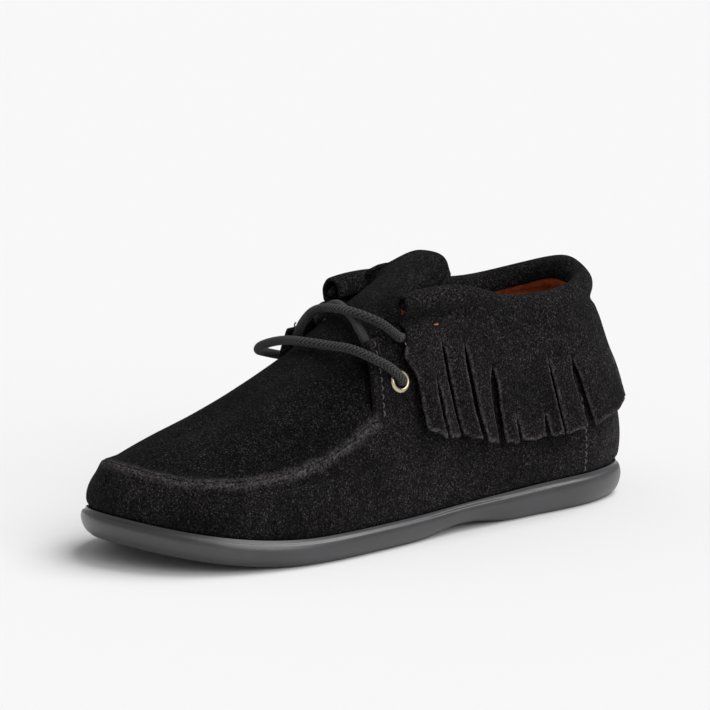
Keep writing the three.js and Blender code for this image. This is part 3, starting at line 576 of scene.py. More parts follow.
# %% Rubber, lining and brass
even, given, result = finish_group(
    "even_surface", Dark=(0.021, 0.020, 0.022), Light=(0.035, 0.033, 0.037), Flow_Scale=40.0,
    Grain_Scale=900.0, Smoothness=0.26, Depth=0.00006,
)
flow = grain(even, given["Flow Scale"], 5.0)
pores = grain(even, given["Grain Scale"], 3.0)
even.links.new(mixed(even, spread(even, flow, 0.3, 0.7), given["Dark"], given["Light"]), result["Colour"])
dulled = maths(even, "ADD", maths(even, "MULTIPLY", flow, 0.16), given["Smoothness"])
even.links.new(dulled, result["Roughness"])
raised = node(even, "ShaderNodeBump", {"Height": pores, "Distance": given["Depth"]})
even.links.new(raised.outputs[0], result["Normal"])
rubber = finish("sole_rubber", even, Specular_IOR_Level=0.80)
lining_leather = finish("rust_lining", even, {
    "Dark": (0.30, 0.070, 0.022), "Light": (0.62, 0.20, 0.075), "Flow Scale": 420.0, "Grain Scale": 1300.0,
    "Smoothness": 0.60, "Depth": 0.0004,
}, Specular_IOR_Level=0.25)
brass = finish("antique_brass", even, {
    "Dark": (0.40, 0.34, 0.20), "Light": (0.66, 0.60, 0.44), "Grain Scale": 300.0, "Smoothness": 0.20,
    "Depth": 0.00002,
}, Metallic=1.0)
print("even finishes:", [material.name for material in (rubber, lining_leather, brass)])

# %% [markdown]
# The lace is plaited. Its strands run round it both ways and meet in rows of small arrowheads, so the
# pattern
# follows the cord: it reads the piece's UV map, across the cord and along it. Its colour holds painted
# shade:
# the strands' crowns are lighter and the grooves between them darker, over the yarn's own fine fibre flecks.

# %% Plaited lace
plait, given, result = finish_group(
    "plaited_cord", Dark=(0.0045, 0.0044, 0.0048), Light=(0.052, 0.050, 0.052), Around=8.0, Along=60.0
)
uv = node(plait, "ShaderNodeSeparateXYZ", {0: plait.nodes.new("ShaderNodeTexCoord").outputs["UV"]}).outputs
arrow = maths(plait, "PINGPONG", maths(plait, "MULTIPLY", uv[0], given["Around"]), 1.0)
rows_along = maths(plait, "MULTIPLY", uv[1], given["Along"])
slant = maths(plait, "ADD", maths(plait, "MULTIPLY", arrow, 0.9), rows_along)
strand = maths(plait, "SINE", maths(plait, "MULTIPLY", slant, 2 * math.pi))
yarn = grain(plait, 2400.0, 2.0)
fibre_light = spread(plait, yarn, 0.35, 0.65, 0.15, 1.0)
# Painted shade in the grooves between strands and a painted highlight on their crowns, with the yarn's own
# fibre flecks
lit = maths(plait, "MULTIPLY", spread(plait, strand, 0.45, 1.0), fibre_light, True)
plait.links.new(mixed(plait, lit, given["Dark"], given["Light"]), result["Colour"])
plait.links.new(spread(plait, strand, -1.0, 1.0, 0.95, 0.65), result["Roughness"])
relief = node(plait, "ShaderNodeBump", {"Height": strand, "Distance": 0.0003, "Strength": 0.9})
plait.links.new(relief.outputs[0], result["Normal"])
print("groups:", [group.name for group in bpy.data.node_groups])

# %% [markdown]
# ## Sole
# The sole is one moulding with a round side and a narrow ledge at its rim. It is laid as rings that cross
# the boot from edge to edge, closer together at the ends, where they close up.

# %% Sole and footbed
# The side's round section: height as a share of the rim's, inset as a share of the side's height
SIDE = table(
    "height inset",
    (0.00, 0.37), (0.15, 0.17), (0.36, 0.05), (0.60, 0.00), (0.82, 0.05), (0.90, 0.16), (1.00, 0.20),
)
CROSSINGS, LEDGE_IN, SEAT_IN = 150, 2.05, 2.25


def cross_run(u):
    """Runs from toe to heel, closer together at both ends."""
    return 0.5 - 0.5 * math.cos(math.pi * u)


def cross_ring(profile, run, middle):
    """A ring over one side, across the top, down the other side and back underneath."""
    sides = []
    for side in (1, -1):
        points = level_point(side, run, [inset for inset, _ in profile], 0.0)
        points[:, 2] = [float(height(x)) for (_, height), x in zip(profile, points[:, 0])]
        sides.append(points)
    outer, inner = sides
    shares = np.linspace(0, 1, middle + 2)[1:-1, None]
    top = outer[-1] + (inner[-1] - outer[-1]) * shares
    bottom = inner[0] + (outer[0] - inner[0]) * shares
    top[:, 2] = profile[-1][1](top[:, 0])
    bottom[:, 2] = profile[0][1](bottom[:, 0])
    return np.vstack([outer, top, inner[::-1], bottom, outer[:1]])


def ringed(name, profile, middle):
    count = 2 * (len(profile) + middle)
    piece = lay(name, CROSSINGS, count, lambda u, rows: cross_ring(profile, cross_run(u), middle))
    face_out(piece)
    bpy.ops.object.shade_smooth_by_angle(angle=math.radians(50))
    return piece


def sole_level(share):
    return lambda x: tread_height(x) + share * (rim_height(x) - tread_height(x))


sole_profile = [
    (float(between(SIDE, "height", "inset", share)) * SOLE_SIDE, sole_level(share))
    for share in (0, 0.03, 0.08, 0.15, 0.25, 0.36, 0.48, 0.60, 0.70, 0.78, 0.83, 0.865, 0.90, 0.95, 1.0)
]
sole_profile += [(LEDGE_IN, rim_height), (SEAT_IN, seat_height)]
settle(ringed("sole", sole_profile, 14), rubber, "sole_rubber", "outsole")


def bed_level(rise):
    return lambda x: seat_height(x) + 2 * GAP + LEATHER + rise


# The footbed's rounded edge: how far in and how high over its underside
bed_profile = [
    (FEATHER_IN + LEATHER + inset, bed_level(rise))
    for inset, rise in ((0.0, 0.0), (0.0, 1.5), (0.4, 2.2), (1.2, 2.5))
]
settle(ringed("footbed", bed_profile, 10), lining_leather, "lining", "insole")

# %% [markdown]
# ## Upper
# The side wall goes round the whole foot up to the seam. Behind the throat it goes on up as the quarters,
# whose front edges stand over the apron. Both are laid as cuts with the same spacing and sewn together.

# %% The ridge of the seam
RIDGE_OUT, RIDGE_UP, RIDGE_WIDTH, PUCKER_PITCH, EDGE_LENGTH = 0.75, 0.95, 2.1, 3.1, 250.0


def ridge(run, distance):
    """How far the seam's ridge lifts a point, out and up, at a distance from the seam."""
    along = run * EDGE_LENGTH
    pucker = 1 + 0.16 * math.sin(2 * math.pi * along / PUCKER_PITCH)
    pucker += 0.12 * math.sin(0.9 * along) * math.sin(0.37 * along)
    fade = 1 - float(smooth(run, FACING_RUN - 0.03, FACING_RUN + 0.01))
    share = np.exp(-(np.asarray(distance) / RIDGE_WIDTH) ** 2) * pucker * fade
    return RIDGE_OUT * share, RIDGE_UP * share


def seam_point(side, run):
    out, up = ridge(run, 0.0)
    return wall_point(side, run, section(side, run)["seam"], out)[0] + np.array([0, 0, float(up)])


print("ridge at the side, out and up:", [round(float(move), 2) for move in ridge(0.2, 0.0)], "mm")

# %% [markdown]
# The wall under the seam is stuffed full by the toes. On the last it is drawn in over the bulge like a
# quarter of a circle, so the laid wall is filled out there. Behind the throat the same columns go on up as
# quarters.

# %% Side wall and quarters
FORE_CELLS, REAR_CELLS, ROUNDER = 80, 84, 1.76
fore_runs = np.linspace(0, FACING_RUN, FORE_CELLS + 1)
rear_runs = np.linspace(FACING_RUN, 1, REAR_CELLS + 1)
half_runs = np.append(fore_runs, rear_runs[1:])


def side_and_run(runs, u):
    """u goes along the outer side to the last run, then back along the inner side."""
    k = int(round(u * 2 * (len(runs) - 1)))
    return (1, runs[k]) if k < len(runs) else (-1, runs[2 * (len(runs) - 1) - k])


def wall_column(u, rows):
    side, run = side_and_run(half_runs, u)
    s = section(side, run)
    z = s["foot"] + (s["seam"] - s["foot"]) * (1 - (1 - rows) ** 1.25)
    out, up = ridge(run, s["seam"] - z)
    bulge, bulge_in, seam_in = s["rows"]["z"][3], *s["rows"]["inset"][3:5]
    t = np.clip((z - bulge) / (s["seam"] - bulge), 0, 1)
    rounder = ROUNDER * (1 - float(smooth(run, 0.10, 0.34))) * (seam_in - bulge_in)
    points = wall_point(side, run, z, out + rounder * t * t * (1 - t))
    points[:, 2] += up
    return points


def quarter_column(u, rows):
    side, run = side_and_run(rear_runs, u)
    s = section(side, run)
    z = s["seam"] + (s["top"] - s["seam"]) * rows
    out = facing_shift(side, run) * smooth(z, s["seam"], s["seam"] + 6)
    return wall_point(side, run, z, out)


side_wall = lay("side_wall", 2 * (FORE_CELLS + REAR_CELLS), 24, wall_column)
quarters = lay("quarters", 2 * REAR_CELLS, 18, quarter_column)
upper = sew([side_wall, quarters])
thicken(upper, LEATHER)
soften(upper)


# %% [markdown]
# Nap that is rubbed or cut goes pale, and the same pale nap is painted where light catches the seam's
# ridge, the heel and the tongue. Each suede piece gets a number at every point that says how near it is to
# such a line, and its finish reads that number.

# %% Rubbed nap and painted sheen near a line
def wear_and_sheen(piece, line, reach, strength=1.0):
    """Writes how pale the nap is at each point, from rubbing and from painted sheen: from strength on the
    line to 0 at the reach in millimetres.
    """
    tree = kdtree.KDTree(len(line))
    for k, point in enumerate(to_frame(line)):
        tree.insert(point, k)
    tree.balance()
    mesh = piece.data
    wear_sheen_mask = mesh.attributes.get("wear_and_sheen") or mesh.attributes.new("wear_and_sheen", "FLOAT", "POINT")
    values = np.zeros(len(mesh.vertices), np.float32)
    wear_sheen_mask.data.foreach_get("value", values)
    for k, vertex in enumerate(mesh.vertices):
        distance = tree.find(vertex.co)[2] * 1000 / reach
        values[k] = max(values[k], strength * max(0.0, 1 - distance * distance) ** 2)
    wear_sheen_mask.data.foreach_set("value", values)
    print(piece.name, "rubbed points:", int((values > 0.05).sum()))


seam_line = {side: [seam_point(side, run) for run in np.linspace(0, FACING_RUN, 160)] for side in (1, -1)}
fold_line = seam_line[1] + seam_line[-1]
# Paler nap along the seam's ridge: partly rubbed nap, partly a painted highlight on the ridge
wear_and_sheen(upper, fold_line, 3.4)
# Painted sheen: the nap is painted paler at the heel and in the tongue's middle, which the light catches
# more
SHEEN_REACH, HEEL_SHEEN, TONGUE_SHEEN = 26.0, 0.36, 0.28
heel_sheen_line = [
    wall_point(side, run, z)[0] for side in (1, -1) for run in (0.90, 0.95, 1.0) for z in (22, 34, 46)
]
wear_and_sheen(upper, heel_sheen_line, SHEEN_REACH, HEEL_SHEEN)
settle(upper, suede, "suede", "upper")

# %% [markdown]
# The apron runs on into the tongue as one piece of suede. Its rows start as a fold at the toe and widen to
# the throat. From there the middle columns go on as the tongue, arched across and rounded at the tip, and
# the outer ones as wings that tuck under the quarters, so that no gap shows behind the facings.

# %% Apron
APRON_ROWS, HALF_COLUMNS, TONGUE_ROWS, TONGUE_SHARE, CROWN, TOE_CROWN = 70, 36, 50, 0.7, 0.28, 0.45


def crown_drop(across, fullness, crown):
    """Share of the apron's height that is lost beside its middle line, which is round and not a crease."""
    beside = np.sqrt((1 - across) ** 2 + crown ** 2) ** fullness
    return (beside - crown ** fullness) / ((1 + crown ** 2) ** (fullness / 2) - crown ** fullness)


def apron_point(side, share, across):
    """Points of the apron from the seam, across 0, to its middle line, across 1."""
    run = FACING_RUN * share
    seam = wall_point(side, run, section(side, run)["seam"])[0]
    at, shift, height, fullness = values_at(SPINE, "share", share).values()
    spine = np.array([at * SOLE_LENGTH, shift * BALL_WIDTH, height * INSTEP_HEIGHT])
    points = seam + (spine - seam) * across[:, None]
    drop = crown_drop(across, fullness, CROWN + TOE_CROWN * (1 - share))
    points[:, 2] = seam[2] + (spine[2] - seam[2]) * (1 - drop)
    out, up = ridge(run, across * np.linalg.norm(spine - seam))
    away = edge(side, run)[2:]
    points[:, 0] -= away[0] * out
    points[:, 1] -= away[1] * out
    points[:, 2] += up
    return points


def apron_row(share, columns):
    """columns from -1, the inner seam, to 1, the outer seam."""
    points = np.empty((len(columns), 3))
    for side in (1, -1):
        mine = columns * side >= 0
        points[mine] = apron_point(side, share, 1 - np.abs(columns[mine]))
    return points


def apron_column(u, rows):
    return apron_row(u, 2 * rows - 1)


print("apron at the throat:", apron_row(1.0, np.zeros(1)).round(1), "mm")

# %% [markdown]
# The quarters' inner faces are the limit for the wings. They are read off as a small map, so that each wing
# point can be held behind the leather that hides it.

# %% Tongue and its wings
throat_row = apron_row(1.0, np.linspace(-1, 1, 2 * HALF_COLUMNS + 1))
WING_UNDER, TIP_OVER = LEATHER + 1.3, 1.8
wall_levels = np.linspace(36, 80, 45)
wall_runs = np.linspace(FACING_RUN, 0.80, 60)
wall_maps = {
    side: np.array([wall_point(side, run, wall_levels, facing_shift(side, run)) for run in wall_runs])
    for side in (1, -1)
}


def wall_side(side, x, z):
    """How far from the middle line the quarter's outer face lies at x and z."""
    level = int(np.clip(np.rint(z - wall_levels[0]), 0, len(wall_levels) - 1))
    across_wall = wall_maps[side][:, level]
    return np.interp(x, across_wall[::-1, 0], np.abs(across_wall[::-1, 1]))


def tongue_column(u, rows):
    columns = 2 * rows - 1
    at, climb, width, drop = values_at(TONGUE, "share", u).values()
    width *= TONGUE_WIDTH
    reach = np.abs(columns) / TONGUE_SHARE
    wing = 1 - 0.76 * float(smooth(u, 0.08, 0.36))
    across = np.where(reach <= 1, reach, 1 + (reach - 1) * wing)
    throat = 1 - float(smooth(u, 0, 0.3))
    rounding = TONGUE_ROUNDING * float(smooth(u, 0.7, 1)) * across ** 4
    x = at * SOLE_LENGTH + throat * (throat_row[:, 0] - TONGUE["at"][0] * SOLE_LENGTH) + rounding
    sink = (1 - throat) * drop * width * across ** 2.6 + throat * (INSTEP_HEIGHT - throat_row[:, 2])
    z = INSTEP_HEIGHT + climb * (TONGUE_HEIGHT - INSTEP_HEIGHT) - sink
    y = (1 - throat) * np.sign(columns) * across * width / 2 + throat * throat_row[:, 1]
    tuck = float(smooth(u, 0, 0.05)) * (1 - float(smooth(u, 0.40, 0.56)))
    y += TIP_OVER * float(smooth(u, 0.3, 1))
    for k, side in enumerate(np.sign(y).astype(int)):
        if side:
            most = wall_side(side, x[k], z[k]) - WING_UNDER
            y[k] += tuck * side * min(0.0, most - abs(y[k]))
    return np.column_stack([x, y, z])


apron = lay("apron_and_tongue", APRON_ROWS, 2 * HALF_COLUMNS, apron_column)
tongue = lay("tongue_cut", TONGUE_ROWS, 2 * HALF_COLUMNS, tongue_column)
apron_and_tongue = sew([apron, tongue])
thicken(apron_and_tongue, 1.7)
soften(apron_and_tongue)
# Paler nap along the seam's ridge: partly rubbed nap, partly a painted highlight on the ridge
wear_and_sheen(apron_and_tongue, fold_line, 3.0)
# Painted sheen in the tongue's middle
tongue_sheen_point = tongue_column(0.8, np.linspace(0, 1, 2 * HALF_COLUMNS + 1))[HALF_COLUMNS]
wear_and_sheen(apron_and_tongue, [tongue_sheen_point], SHEEN_REACH, TONGUE_SHEEN)
settle(apron_and_tongue, shaded_apron_suede, "suede", "tongue")

# %% [markdown]
# ## Collar and fringe
# The collar is a roll of padding along the topline. One flap of suede covers it: it starts inside the
# mouth, turns over the roll, and hangs down outside as a fringe, cut into strips with a knife. The roll's
# line goes from one front corner round the heel to the other, and is evened so that it has no kink.

# %% The roll's line
COLLAR_START, FLAP_START = {1: 0.505, -1: 0.492}, {1: 0.520, -1: 0.498}
collar_starts = {side: run_at(side, COLLAR_START[side] * SOLE_LENGTH) for side in (1, -1)}
flap_starts = {side: run_at(side, FLAP_START[side] * SOLE_LENGTH) for side in (1, -1)}
# How much higher the roll sits than the topline's own curve, in millimetres
LIFT = table(
    "run outer inner",
    (0.50, 0.8, -0.8), (0.60, 0.4, -1.4), (0.70, -0.6, -1.4), (0.76, 0.8, -1.2), (0.82, 1.2, -0.2),
    (0.90, 0.4, 0.0), (1.00, 0.0, 0.0),
)


def roll_section(side, run):
    """Centre, and half thickness and half height, of the roll at a run."""
    s = section(side, run)
    share = np.clip((run - collar_starts[side]) / (1 - collar_starts[side]), 0, 1)
    height, thickness, out = values_at(ROLL, "share", share, True).values()
    height, thickness = height * ROLL_HEIGHT, thickness * ROLL_THICKNESS
    inset = s["top_in"] + LEATHER / 2 + (0.5 - out) * thickness
    lift = float(between(LIFT, "run", "outer" if side > 0 else "inner", run, True))
    return *level_point(side, run, inset, s["top"] + GAP + height / 2 + lift)[0], thickness / 2, height / 2


ROLL_STEPS, ROLL_FIRST, ROLL_EVENED = 120, 0.40, 15
roll_runs = np.linspace(ROLL_FIRST, 1, ROLL_STEPS + 1)
roll_line = np.array(
    [roll_section(1, run) for run in roll_runs] + [roll_section(-1, run) for run in roll_runs[-2::-1]]
)
heel_before = roll_line[ROLL_STEPS, 0]
for column, reach in enumerate((4.5, 4.5, 5.0, 6.0, 6.0)):
    longer = np.pad(roll_line[:, column], ROLL_EVENED, mode="reflect", reflect_type="odd")
    roll_line[:, column] = np.convolve(longer, bell(reach, ROLL_EVENED), mode="valid")
from_heel = (np.arange(len(roll_line)) - ROLL_STEPS) / 16
roll_line[:, 0] += (heel_before - roll_line[ROLL_STEPS, 0]) * np.exp(-from_heel ** 2)
ahead = np.gradient(roll_line[:, :2], axis=0)
roll_out = np.column_stack([-ahead[:, 1], ahead[:, 0]])
roll_out /= -np.linalg.norm(roll_out, axis=1, keepdims=True)
if roll_out[ROLL_STEPS, 0] > 0:
    roll_out = -roll_out
print("roll goes round the heel at x", roll_line[ROLL_STEPS, 0].round(1))


def roll_points(side, run, degrees, grow=0.0):
    """Points round the roll: 0 faces out, 90 up, 180 in and 270 down."""
    share = (run - ROLL_FIRST) / (1 - ROLL_FIRST) * ROLL_STEPS
    place = share if side > 0 else 2 * ROLL_STEPS - share
    steps = np.arange(len(roll_line))
    x, y, z, a, b = (np.interp(place, steps, roll_line[:, k]) for k in range(5))
    outx, outy = (np.interp(place, steps, roll_out[:, k]) for k in (0, 1))
    angle = np.radians(np.atleast_1d(np.asarray(degrees, float)))
    away, rise = (a + grow) * np.cos(angle), (b + grow) * np.sin(angle)
    return np.column_stack([x + outx * away, y + outy * away, z + rise])


# %% [markdown]
# The padding is a thin roll against its length, and the flap hides nearly all of it. It is laid as rings
# along the line, drawn together a little at even steps and narrowed at its two ends, which are capped.

# %% Padding roll
ROLL_COLUMNS, UNDER_FLAP, PUCKERS = 220, 1.75, 46


def roll_column(u, rows):
    side = 1 if u <= 0.5 else -1
    run = collar_starts[side] + (1 - collar_starts[side]) * (1 - abs(1 - 2 * u))
    end = min(1.0, 0.55 + 40 * min(u, 1 - u))
    pucker = -UNDER_FLAP - 2.0 * (1 - end) + 0.12 * math.sin(2 * math.pi * u * PUCKERS)
    return roll_points(side, run, 360 * rows, pucker)


def cap_ends(piece):
    """Closes the open ends of a tube."""
    bpy.ops.object.mode_set(mode="EDIT")
    bpy.ops.mesh.select_all(action="DESELECT")
    bpy.ops.mesh.select_non_manifold()
    bpy.ops.mesh.edge_face_add()
    bpy.ops.mesh.select_all(action="SELECT")
    bpy.ops.mesh.normals_make_consistent(inside=False)
    bpy.ops.object.mode_set(mode="OBJECT")
    bpy.ops.object.shade_smooth()


collar_roll = lay("collar_roll", ROLL_COLUMNS, 24, roll_column)
cap_ends(collar_roll)
settle(collar_roll, suede, "suede", "collar")

# %% [markdown]
# The cuts and the strips between them are two small tables. Some cuts start high and gape, others are only
# nicks at the lower edge, and no two strips are the same width. Under the tables are the functions that hang
# the leather outside the wall, turn it over the roll, and let each strip lean away from its neighbours.

# %% Cuts and strips
# Cuts of one side: place at the top and at the end as shares of the way from the front edge to the heel,
# how far down each starts and how wide it opens, in millimetres.
CUTS = table(
    "top end down gap",
    (0.000, 0.012, 4, 0.0), (0.068, 0.072, 18, 1.5), (0.106, 0.132, 5.5, 1.8), (0.180, 0.200, 8, 1.8),
    (0.272, 0.266, 15, 3.4), (0.335, 0.327, 29, 1.6), (0.427, 0.435, 29, 1.6), (0.470, 0.491, 11, 1.3),
    (0.553, 0.608, 12, 3.8), (0.771, 0.796, 14, 1.7), (0.847, 0.869, 16, 1.4), (0.924, 0.937, 13, 1.3),
    (1.000, 1.000, 14, 1.2),
)
# Strips between the cuts: length down from the topline at the front and back corner, kick and curl of the
# end, twist and cup.
STRIPS = table(
    "fore aft kick curl twist cup",
    (34.0, 38.5, 1.2, 0.5, 1.0, 0.5), (38.6, 39.2, 2.1, -0.2, -0.7, 0.5), (39.2, 41.6, 1.1, 0.6, 0.8, 0.4),
    (42.4, 42.2, 2.0, 0.2, -0.8, 0.6), (41.4, 40.4, 1.5, 0.4, 0.5, 0.4), (39.4, 38.2, 1.2, 0.5, -0.5, 0.5),
    (38.0, 37.4, 1.9, 0.3, 0.6, 0.5), (37.6, 36.4, 1.3, 0.4, -0.7, 0.7), (37.2, 33.4, 2.0, 0.4, 0.9, 0.6),
    (33.4, 34.0, 1.2, 0.5, -0.6, 0.5), (35.4, 34.6, 1.8, 0.3, 0.6, 0.6), (34.6, 35.2, 1.3, 0.5, -0.5, 0.5),
)
BAND, SHARED, FULL_LENGTH, SIDE_LENGTH = 5.5, 30.0, 42.0, 150.0
STRIP_CELLS, OVER_CELLS, SHARED_CELLS, END_CELLS = 8, 30, 20, 10
EVEN_KICK, TUCKED_OUT = 1.5, -0.8
# The flap's front corner reaches forwards: how far, at which depth, and over which share of the side
FRONT_REACH, FRONT_DEPTH, FRONT_SHARE = 4.2, 9.5, 0.05
# The lace under it lifts it: how far, at which share of the side, and at which depth
LACE_BUMP, LACE_AT, LACE_DEPTH = 0.8, 0.02, 7.0
FLAP_FULLNESS = 0.65


def fuller(side, share):
    """How much fuller the flap lies on the inner side, eased round the heel."""
    return FLAP_FULLNESS * (1 - side * (1 - float(smooth(share, 0.80, 1.0))))


def hang_point(side, run, depth, more_out=0.0):
    """Points of the flap's outer face outside the wall, by depth below the topline."""
    s = section(side, run)
    z = s["top"] - GAP - np.atleast_1d(np.asarray(depth, float))
    share = (run - flap_starts[side]) / (1 - flap_starts[side])
    front = np.clip(1 - 4 * share, 0, 1)
    below = s["top"] - z
    near_lace = np.exp(-((share - LACE_AT) / FRONT_SHARE) ** 2)
    lace_under = LACE_BUMP * near_lace * np.exp(-((below - LACE_DEPTH) / 6) ** 2)
    flare = np.clip(below / 6, 0, 1) * (0.7 + 1.6 * front)
    out = GAP + FLAP_THICKNESS + flare + lace_under + facing_shift(side, run) + more_out
    out = out + fuller(side, share)
    points = level_point(side, run, between(s["rows"], "z", "inset", z) - out, z)
    forwards = FRONT_REACH * np.exp(-(share / FRONT_SHARE) ** 2)
    points[:, 0] += forwards * np.exp(-((below - FRONT_DEPTH) / 5) ** 2)
    return points


def flap_run(side, share):
    return min(1.0, flap_starts[side] + (1 - flap_starts[side]) * share)


def inner_end(share):
    """How far round the roll the flap starts inside the mouth."""
    return 197 - 7 * float(smooth(share, 0.6, 1))


def over_path(side, share):
    """The flap from inside the mouth over the roll and down to the band's lower edge."""
    run = flap_run(side, share)
    drawn_back = run + 0.008 * (1 - float(smooth(share, 0, 0.04)))
    tuck = 1 - float(smooth(share, 0.12, 0.26)) + 0.55 * float(smooth(share, 0.50, 0.68))
    angles = [inner_end(share), 172, 150, 128, 106, 84, 60, 36 - 22 * tuck, 12 - 48 * tuck]
    over = roll_points(side, min(1, drawn_back), angles, fuller(side, share))
    down = hang_point(side, run, [2.2 - 1.3 * tuck, 3.8 - 1.2 * tuck, BAND])
    s = section(side, run)
    tucked_in = s["top_in"] - GAP - TUCKED_OUT - facing_shift(side, run)
    tucked = level_point(side, run, tucked_in, s["top"] + 0.2)
    eased = (over[-1:] + down[:1]) / 2
    return curve_through(np.vstack([over, eased + (tucked - eased) * tuck, down]), OVER_CELLS + 1)


def cut_opening(k, depth):
    down = CUTS["down"][k]
    return smooth(depth, down, down + 8)


def cut_share(k, depth, after):
    """Where the edge of a cut lies at a depth: after is 1 on its heel side and -1 on its toe side."""
    hang = np.clip((depth - BAND) / (FULL_LENGTH - BAND), 0, 1)
    open_share = cut_opening(k, depth)
    ragged = 0.16 * np.sin(1.9 * depth + 2.1 * k + after) + 0.10 * np.sin(4.7 * depth + 5 * k)
    half_gap = after * CUTS["gap"][k] / 2 + (ragged if 0 < k < len(CUTS["top"]) - 1 else 0)
    drift = (CUTS["end"][k] - CUTS["top"][k]) * hang ** 1.2
    return CUTS["top"][k] + drift + open_share * half_gap / SIDE_LENGTH


def strip_depths(k, u):
    """Depths of a strip's rows: shared with its neighbours at first, then down to its own end."""
    length = STRIPS["fore"][k] + (STRIPS["aft"][k] - STRIPS["fore"][k]) * u
    length += 0.35 * math.sin(9.0 * u + 1.9 * k) + 0.22 * math.sin(23.0 * u + 3.1 * k)
    end_rows = SHARED + (length - SHARED) * np.linspace(0, 1, END_CELLS + 1)[1:]
    return np.append(np.linspace(BAND, SHARED, SHARED_CELLS + 1), end_rows)


def strip_column(side, k, u):
    depth = strip_depths(k, u)
    fore, aft = cut_share(k, depth, 1), cut_share(k + 1, depth, -1)
    hang = np.clip((depth - BAND) / (FULL_LENGTH - BAND), 0, 1)
    free = cut_opening(k, depth) * (1 - u) + cut_opening(k + 1, depth) * u
    centre = 2 * u - 1
    kick, curl, twist, cup = (STRIPS[name][k] for name in ("kick", "curl", "twist", "cup"))
    own = (kick - EVEN_KICK) * hang ** 1.6 + curl * hang ** 5 + twist * centre * hang
    own = own + cup * (1 - centre ** 2)
    out = np.maximum(EVEN_KICK * hang ** 1.6 + free * own, -0.25)
    return np.array([
        hang_point(side, flap_run(side, w), d, o)[0] for w, d, o in zip(fore + (aft - fore) * u, depth, out)
    ])


print("cuts on one side:", len(CUTS["top"]) - 2, "strips:", len(STRIPS["fore"]))

# %% [markdown]
# The band is one grid a side, and each strip hangs from its lower edge with columns at the same places, so
# the points meet and merge. The two sides merge at the heel. Then the whole flap gets its thickness.


# %% Flap and fringe
def flap_columns():
    columns = []
    for k in range(len(STRIPS["fore"])):
        fore, aft = float(cut_share(k, BAND, 1)), float(cut_share(k + 1, BAND, -1))
        columns += list(np.linspace(fore, aft, STRIP_CELLS + 1)[(1 if k else 0):])
    return columns


shares = flap_columns()
flap_parts = []
for side in (1, -1):
    flap_parts.append(lay(
        f"band_{side}", len(shares) - 1, OVER_CELLS,
        lambda u, rows: over_path(side, shares[int(round(u * (len(shares) - 1)))])
    ))
    for k in range(len(STRIPS["fore"])):
        flap_parts.append(lay(
            f"strip_{side}_{k}", STRIP_CELLS, SHARED_CELLS + END_CELLS,
            lambda u, rows: strip_column(side, k, u)
        ))
fringe = sew(flap_parts)
fringe.name = fringe.data.name = "fringe_flap"
thicken(fringe, FLAP_THICKNESS)
soften(fringe)
print("flap sewn from", len(flap_parts), "grids")

# %% [markdown]
# A fresh cut through suede shows its paler core. The nap is written as rubbed along every cut and every end.


# %% Pale cut edges
def cut_edge_line():
    """Points along the edges of the cuts and the strips' ends."""
    points = []
    for side in (1, -1):
        for k in range(len(STRIPS["fore"])):
            for u in (0.0, 1.0):
                column, depth = strip_column(side, k, u), strip_depths(k, u)
                opened = cut_opening(k if u == 0 else k + 1, depth) > 0.12
                points += list(curve_through(column[opened], 90)) if opened.sum() > 3 else []
            ends = [strip_column(side, k, u)[-1] for u in np.linspace(0, 1, 20)]
            points += list(curve_through(ends, 40))
    return points


wear_and_sheen(fringe, cut_edge_line(), 1.5, 0.9)
settle(fringe, suede, "suede", "fringe")

# %% [markdown]
# ## Lining
# Inside the quarters is a thin rust-coloured leather with a fine brushed grain. It comes up from the
# footbed, turns over the inner side of the roll and ends under the flap's edge.

# %% Lining of the quarters
LINING_START = {1: collar_starts[1] - 0.01, -1: collar_starts[-1] + 0.085}


def lining_column(u, rows):
    side = 1 if u <= 0.5 else -1
    run = LINING_START[side] + (1 - LINING_START[side]) * (1 - abs(1 - 2 * u))
    s = section(side, run)
    foot = s["foot"] + LEATHER + 2.0
    z = np.linspace(foot, s["top"] - 2.4, 9)
    out = facing_shift(side, run) * smooth(z, s["seam"], s["seam"] + 6) - LEATHER - 0.15
    inside = wall_point(side, run, z, out)
    under_roll = float(smooth(run, flap_starts[side] + 0.004, flap_starts[side] + 0.02))
    share = np.clip((run - flap_starts[side]) / (1 - flap_starts[side]), 0, 1)
    over = roll_points(side, run, np.linspace(246, inner_end(share) - 10, 6), -0.75)
    level_end = inside[-1] + np.linspace(0.1, 0.6, 6)[:, None] * np.array([0, 0, 1.0])
    return curve_through(np.vstack([inside, level_end + (over - level_end) * under_roll]), len(rows))


lining = lay("quarter_lining", 190, 34, lining_column)
thicken(lining, 0.5)
bpy.ops.object.shade_smooth()
settle(lining, lining_leather, "lining")

# %% [markdown]
# ## Eyelets and laces
# A rolled brass eyelet is a short tube whose end is turned over into a domed flange. Its section is swept
# round the axis of the hole. One eyelet of each pair is bare to see, the upper ones lie under the fringe.


# %% Eyelets
def wall_directions(side, run, z):
    """The directions in which the wall faces and rises at a place."""
    up_wall = wall_point(side, run, z + 1)[0] - wall_point(side, run, z - 1)[0]
    along_wall = wall_point(side, run - 0.01, z)[0] - wall_point(side, run + 0.01, z)[0]
    normal = np.cross(up_wall, along_wall)
    normal *= np.sign(normal[1]) * side / np.linalg.norm(normal)
    return normal, up_wall / np.linalg.norm(up_wall)


def eyelet_place(side, back_off, height_share):
    """Where an eyelet's axis leaves the quarter, and the direction it faces."""
    x = FACING_AT * SOLE_LENGTH - back_off
    z = height_share * TOPLINE_HEIGHT
    low, high = FACING_RUN, 1.0
    for _ in range(30):
        run = (low + high) / 2
        if wall_point(side, run, z)[0][0] > x:
            low = run
        else:
            high = run
    normal = wall_directions(side, run, z)[0]
    return wall_point(side, run, z)[0] + normal * facing_shift(side, run), normal


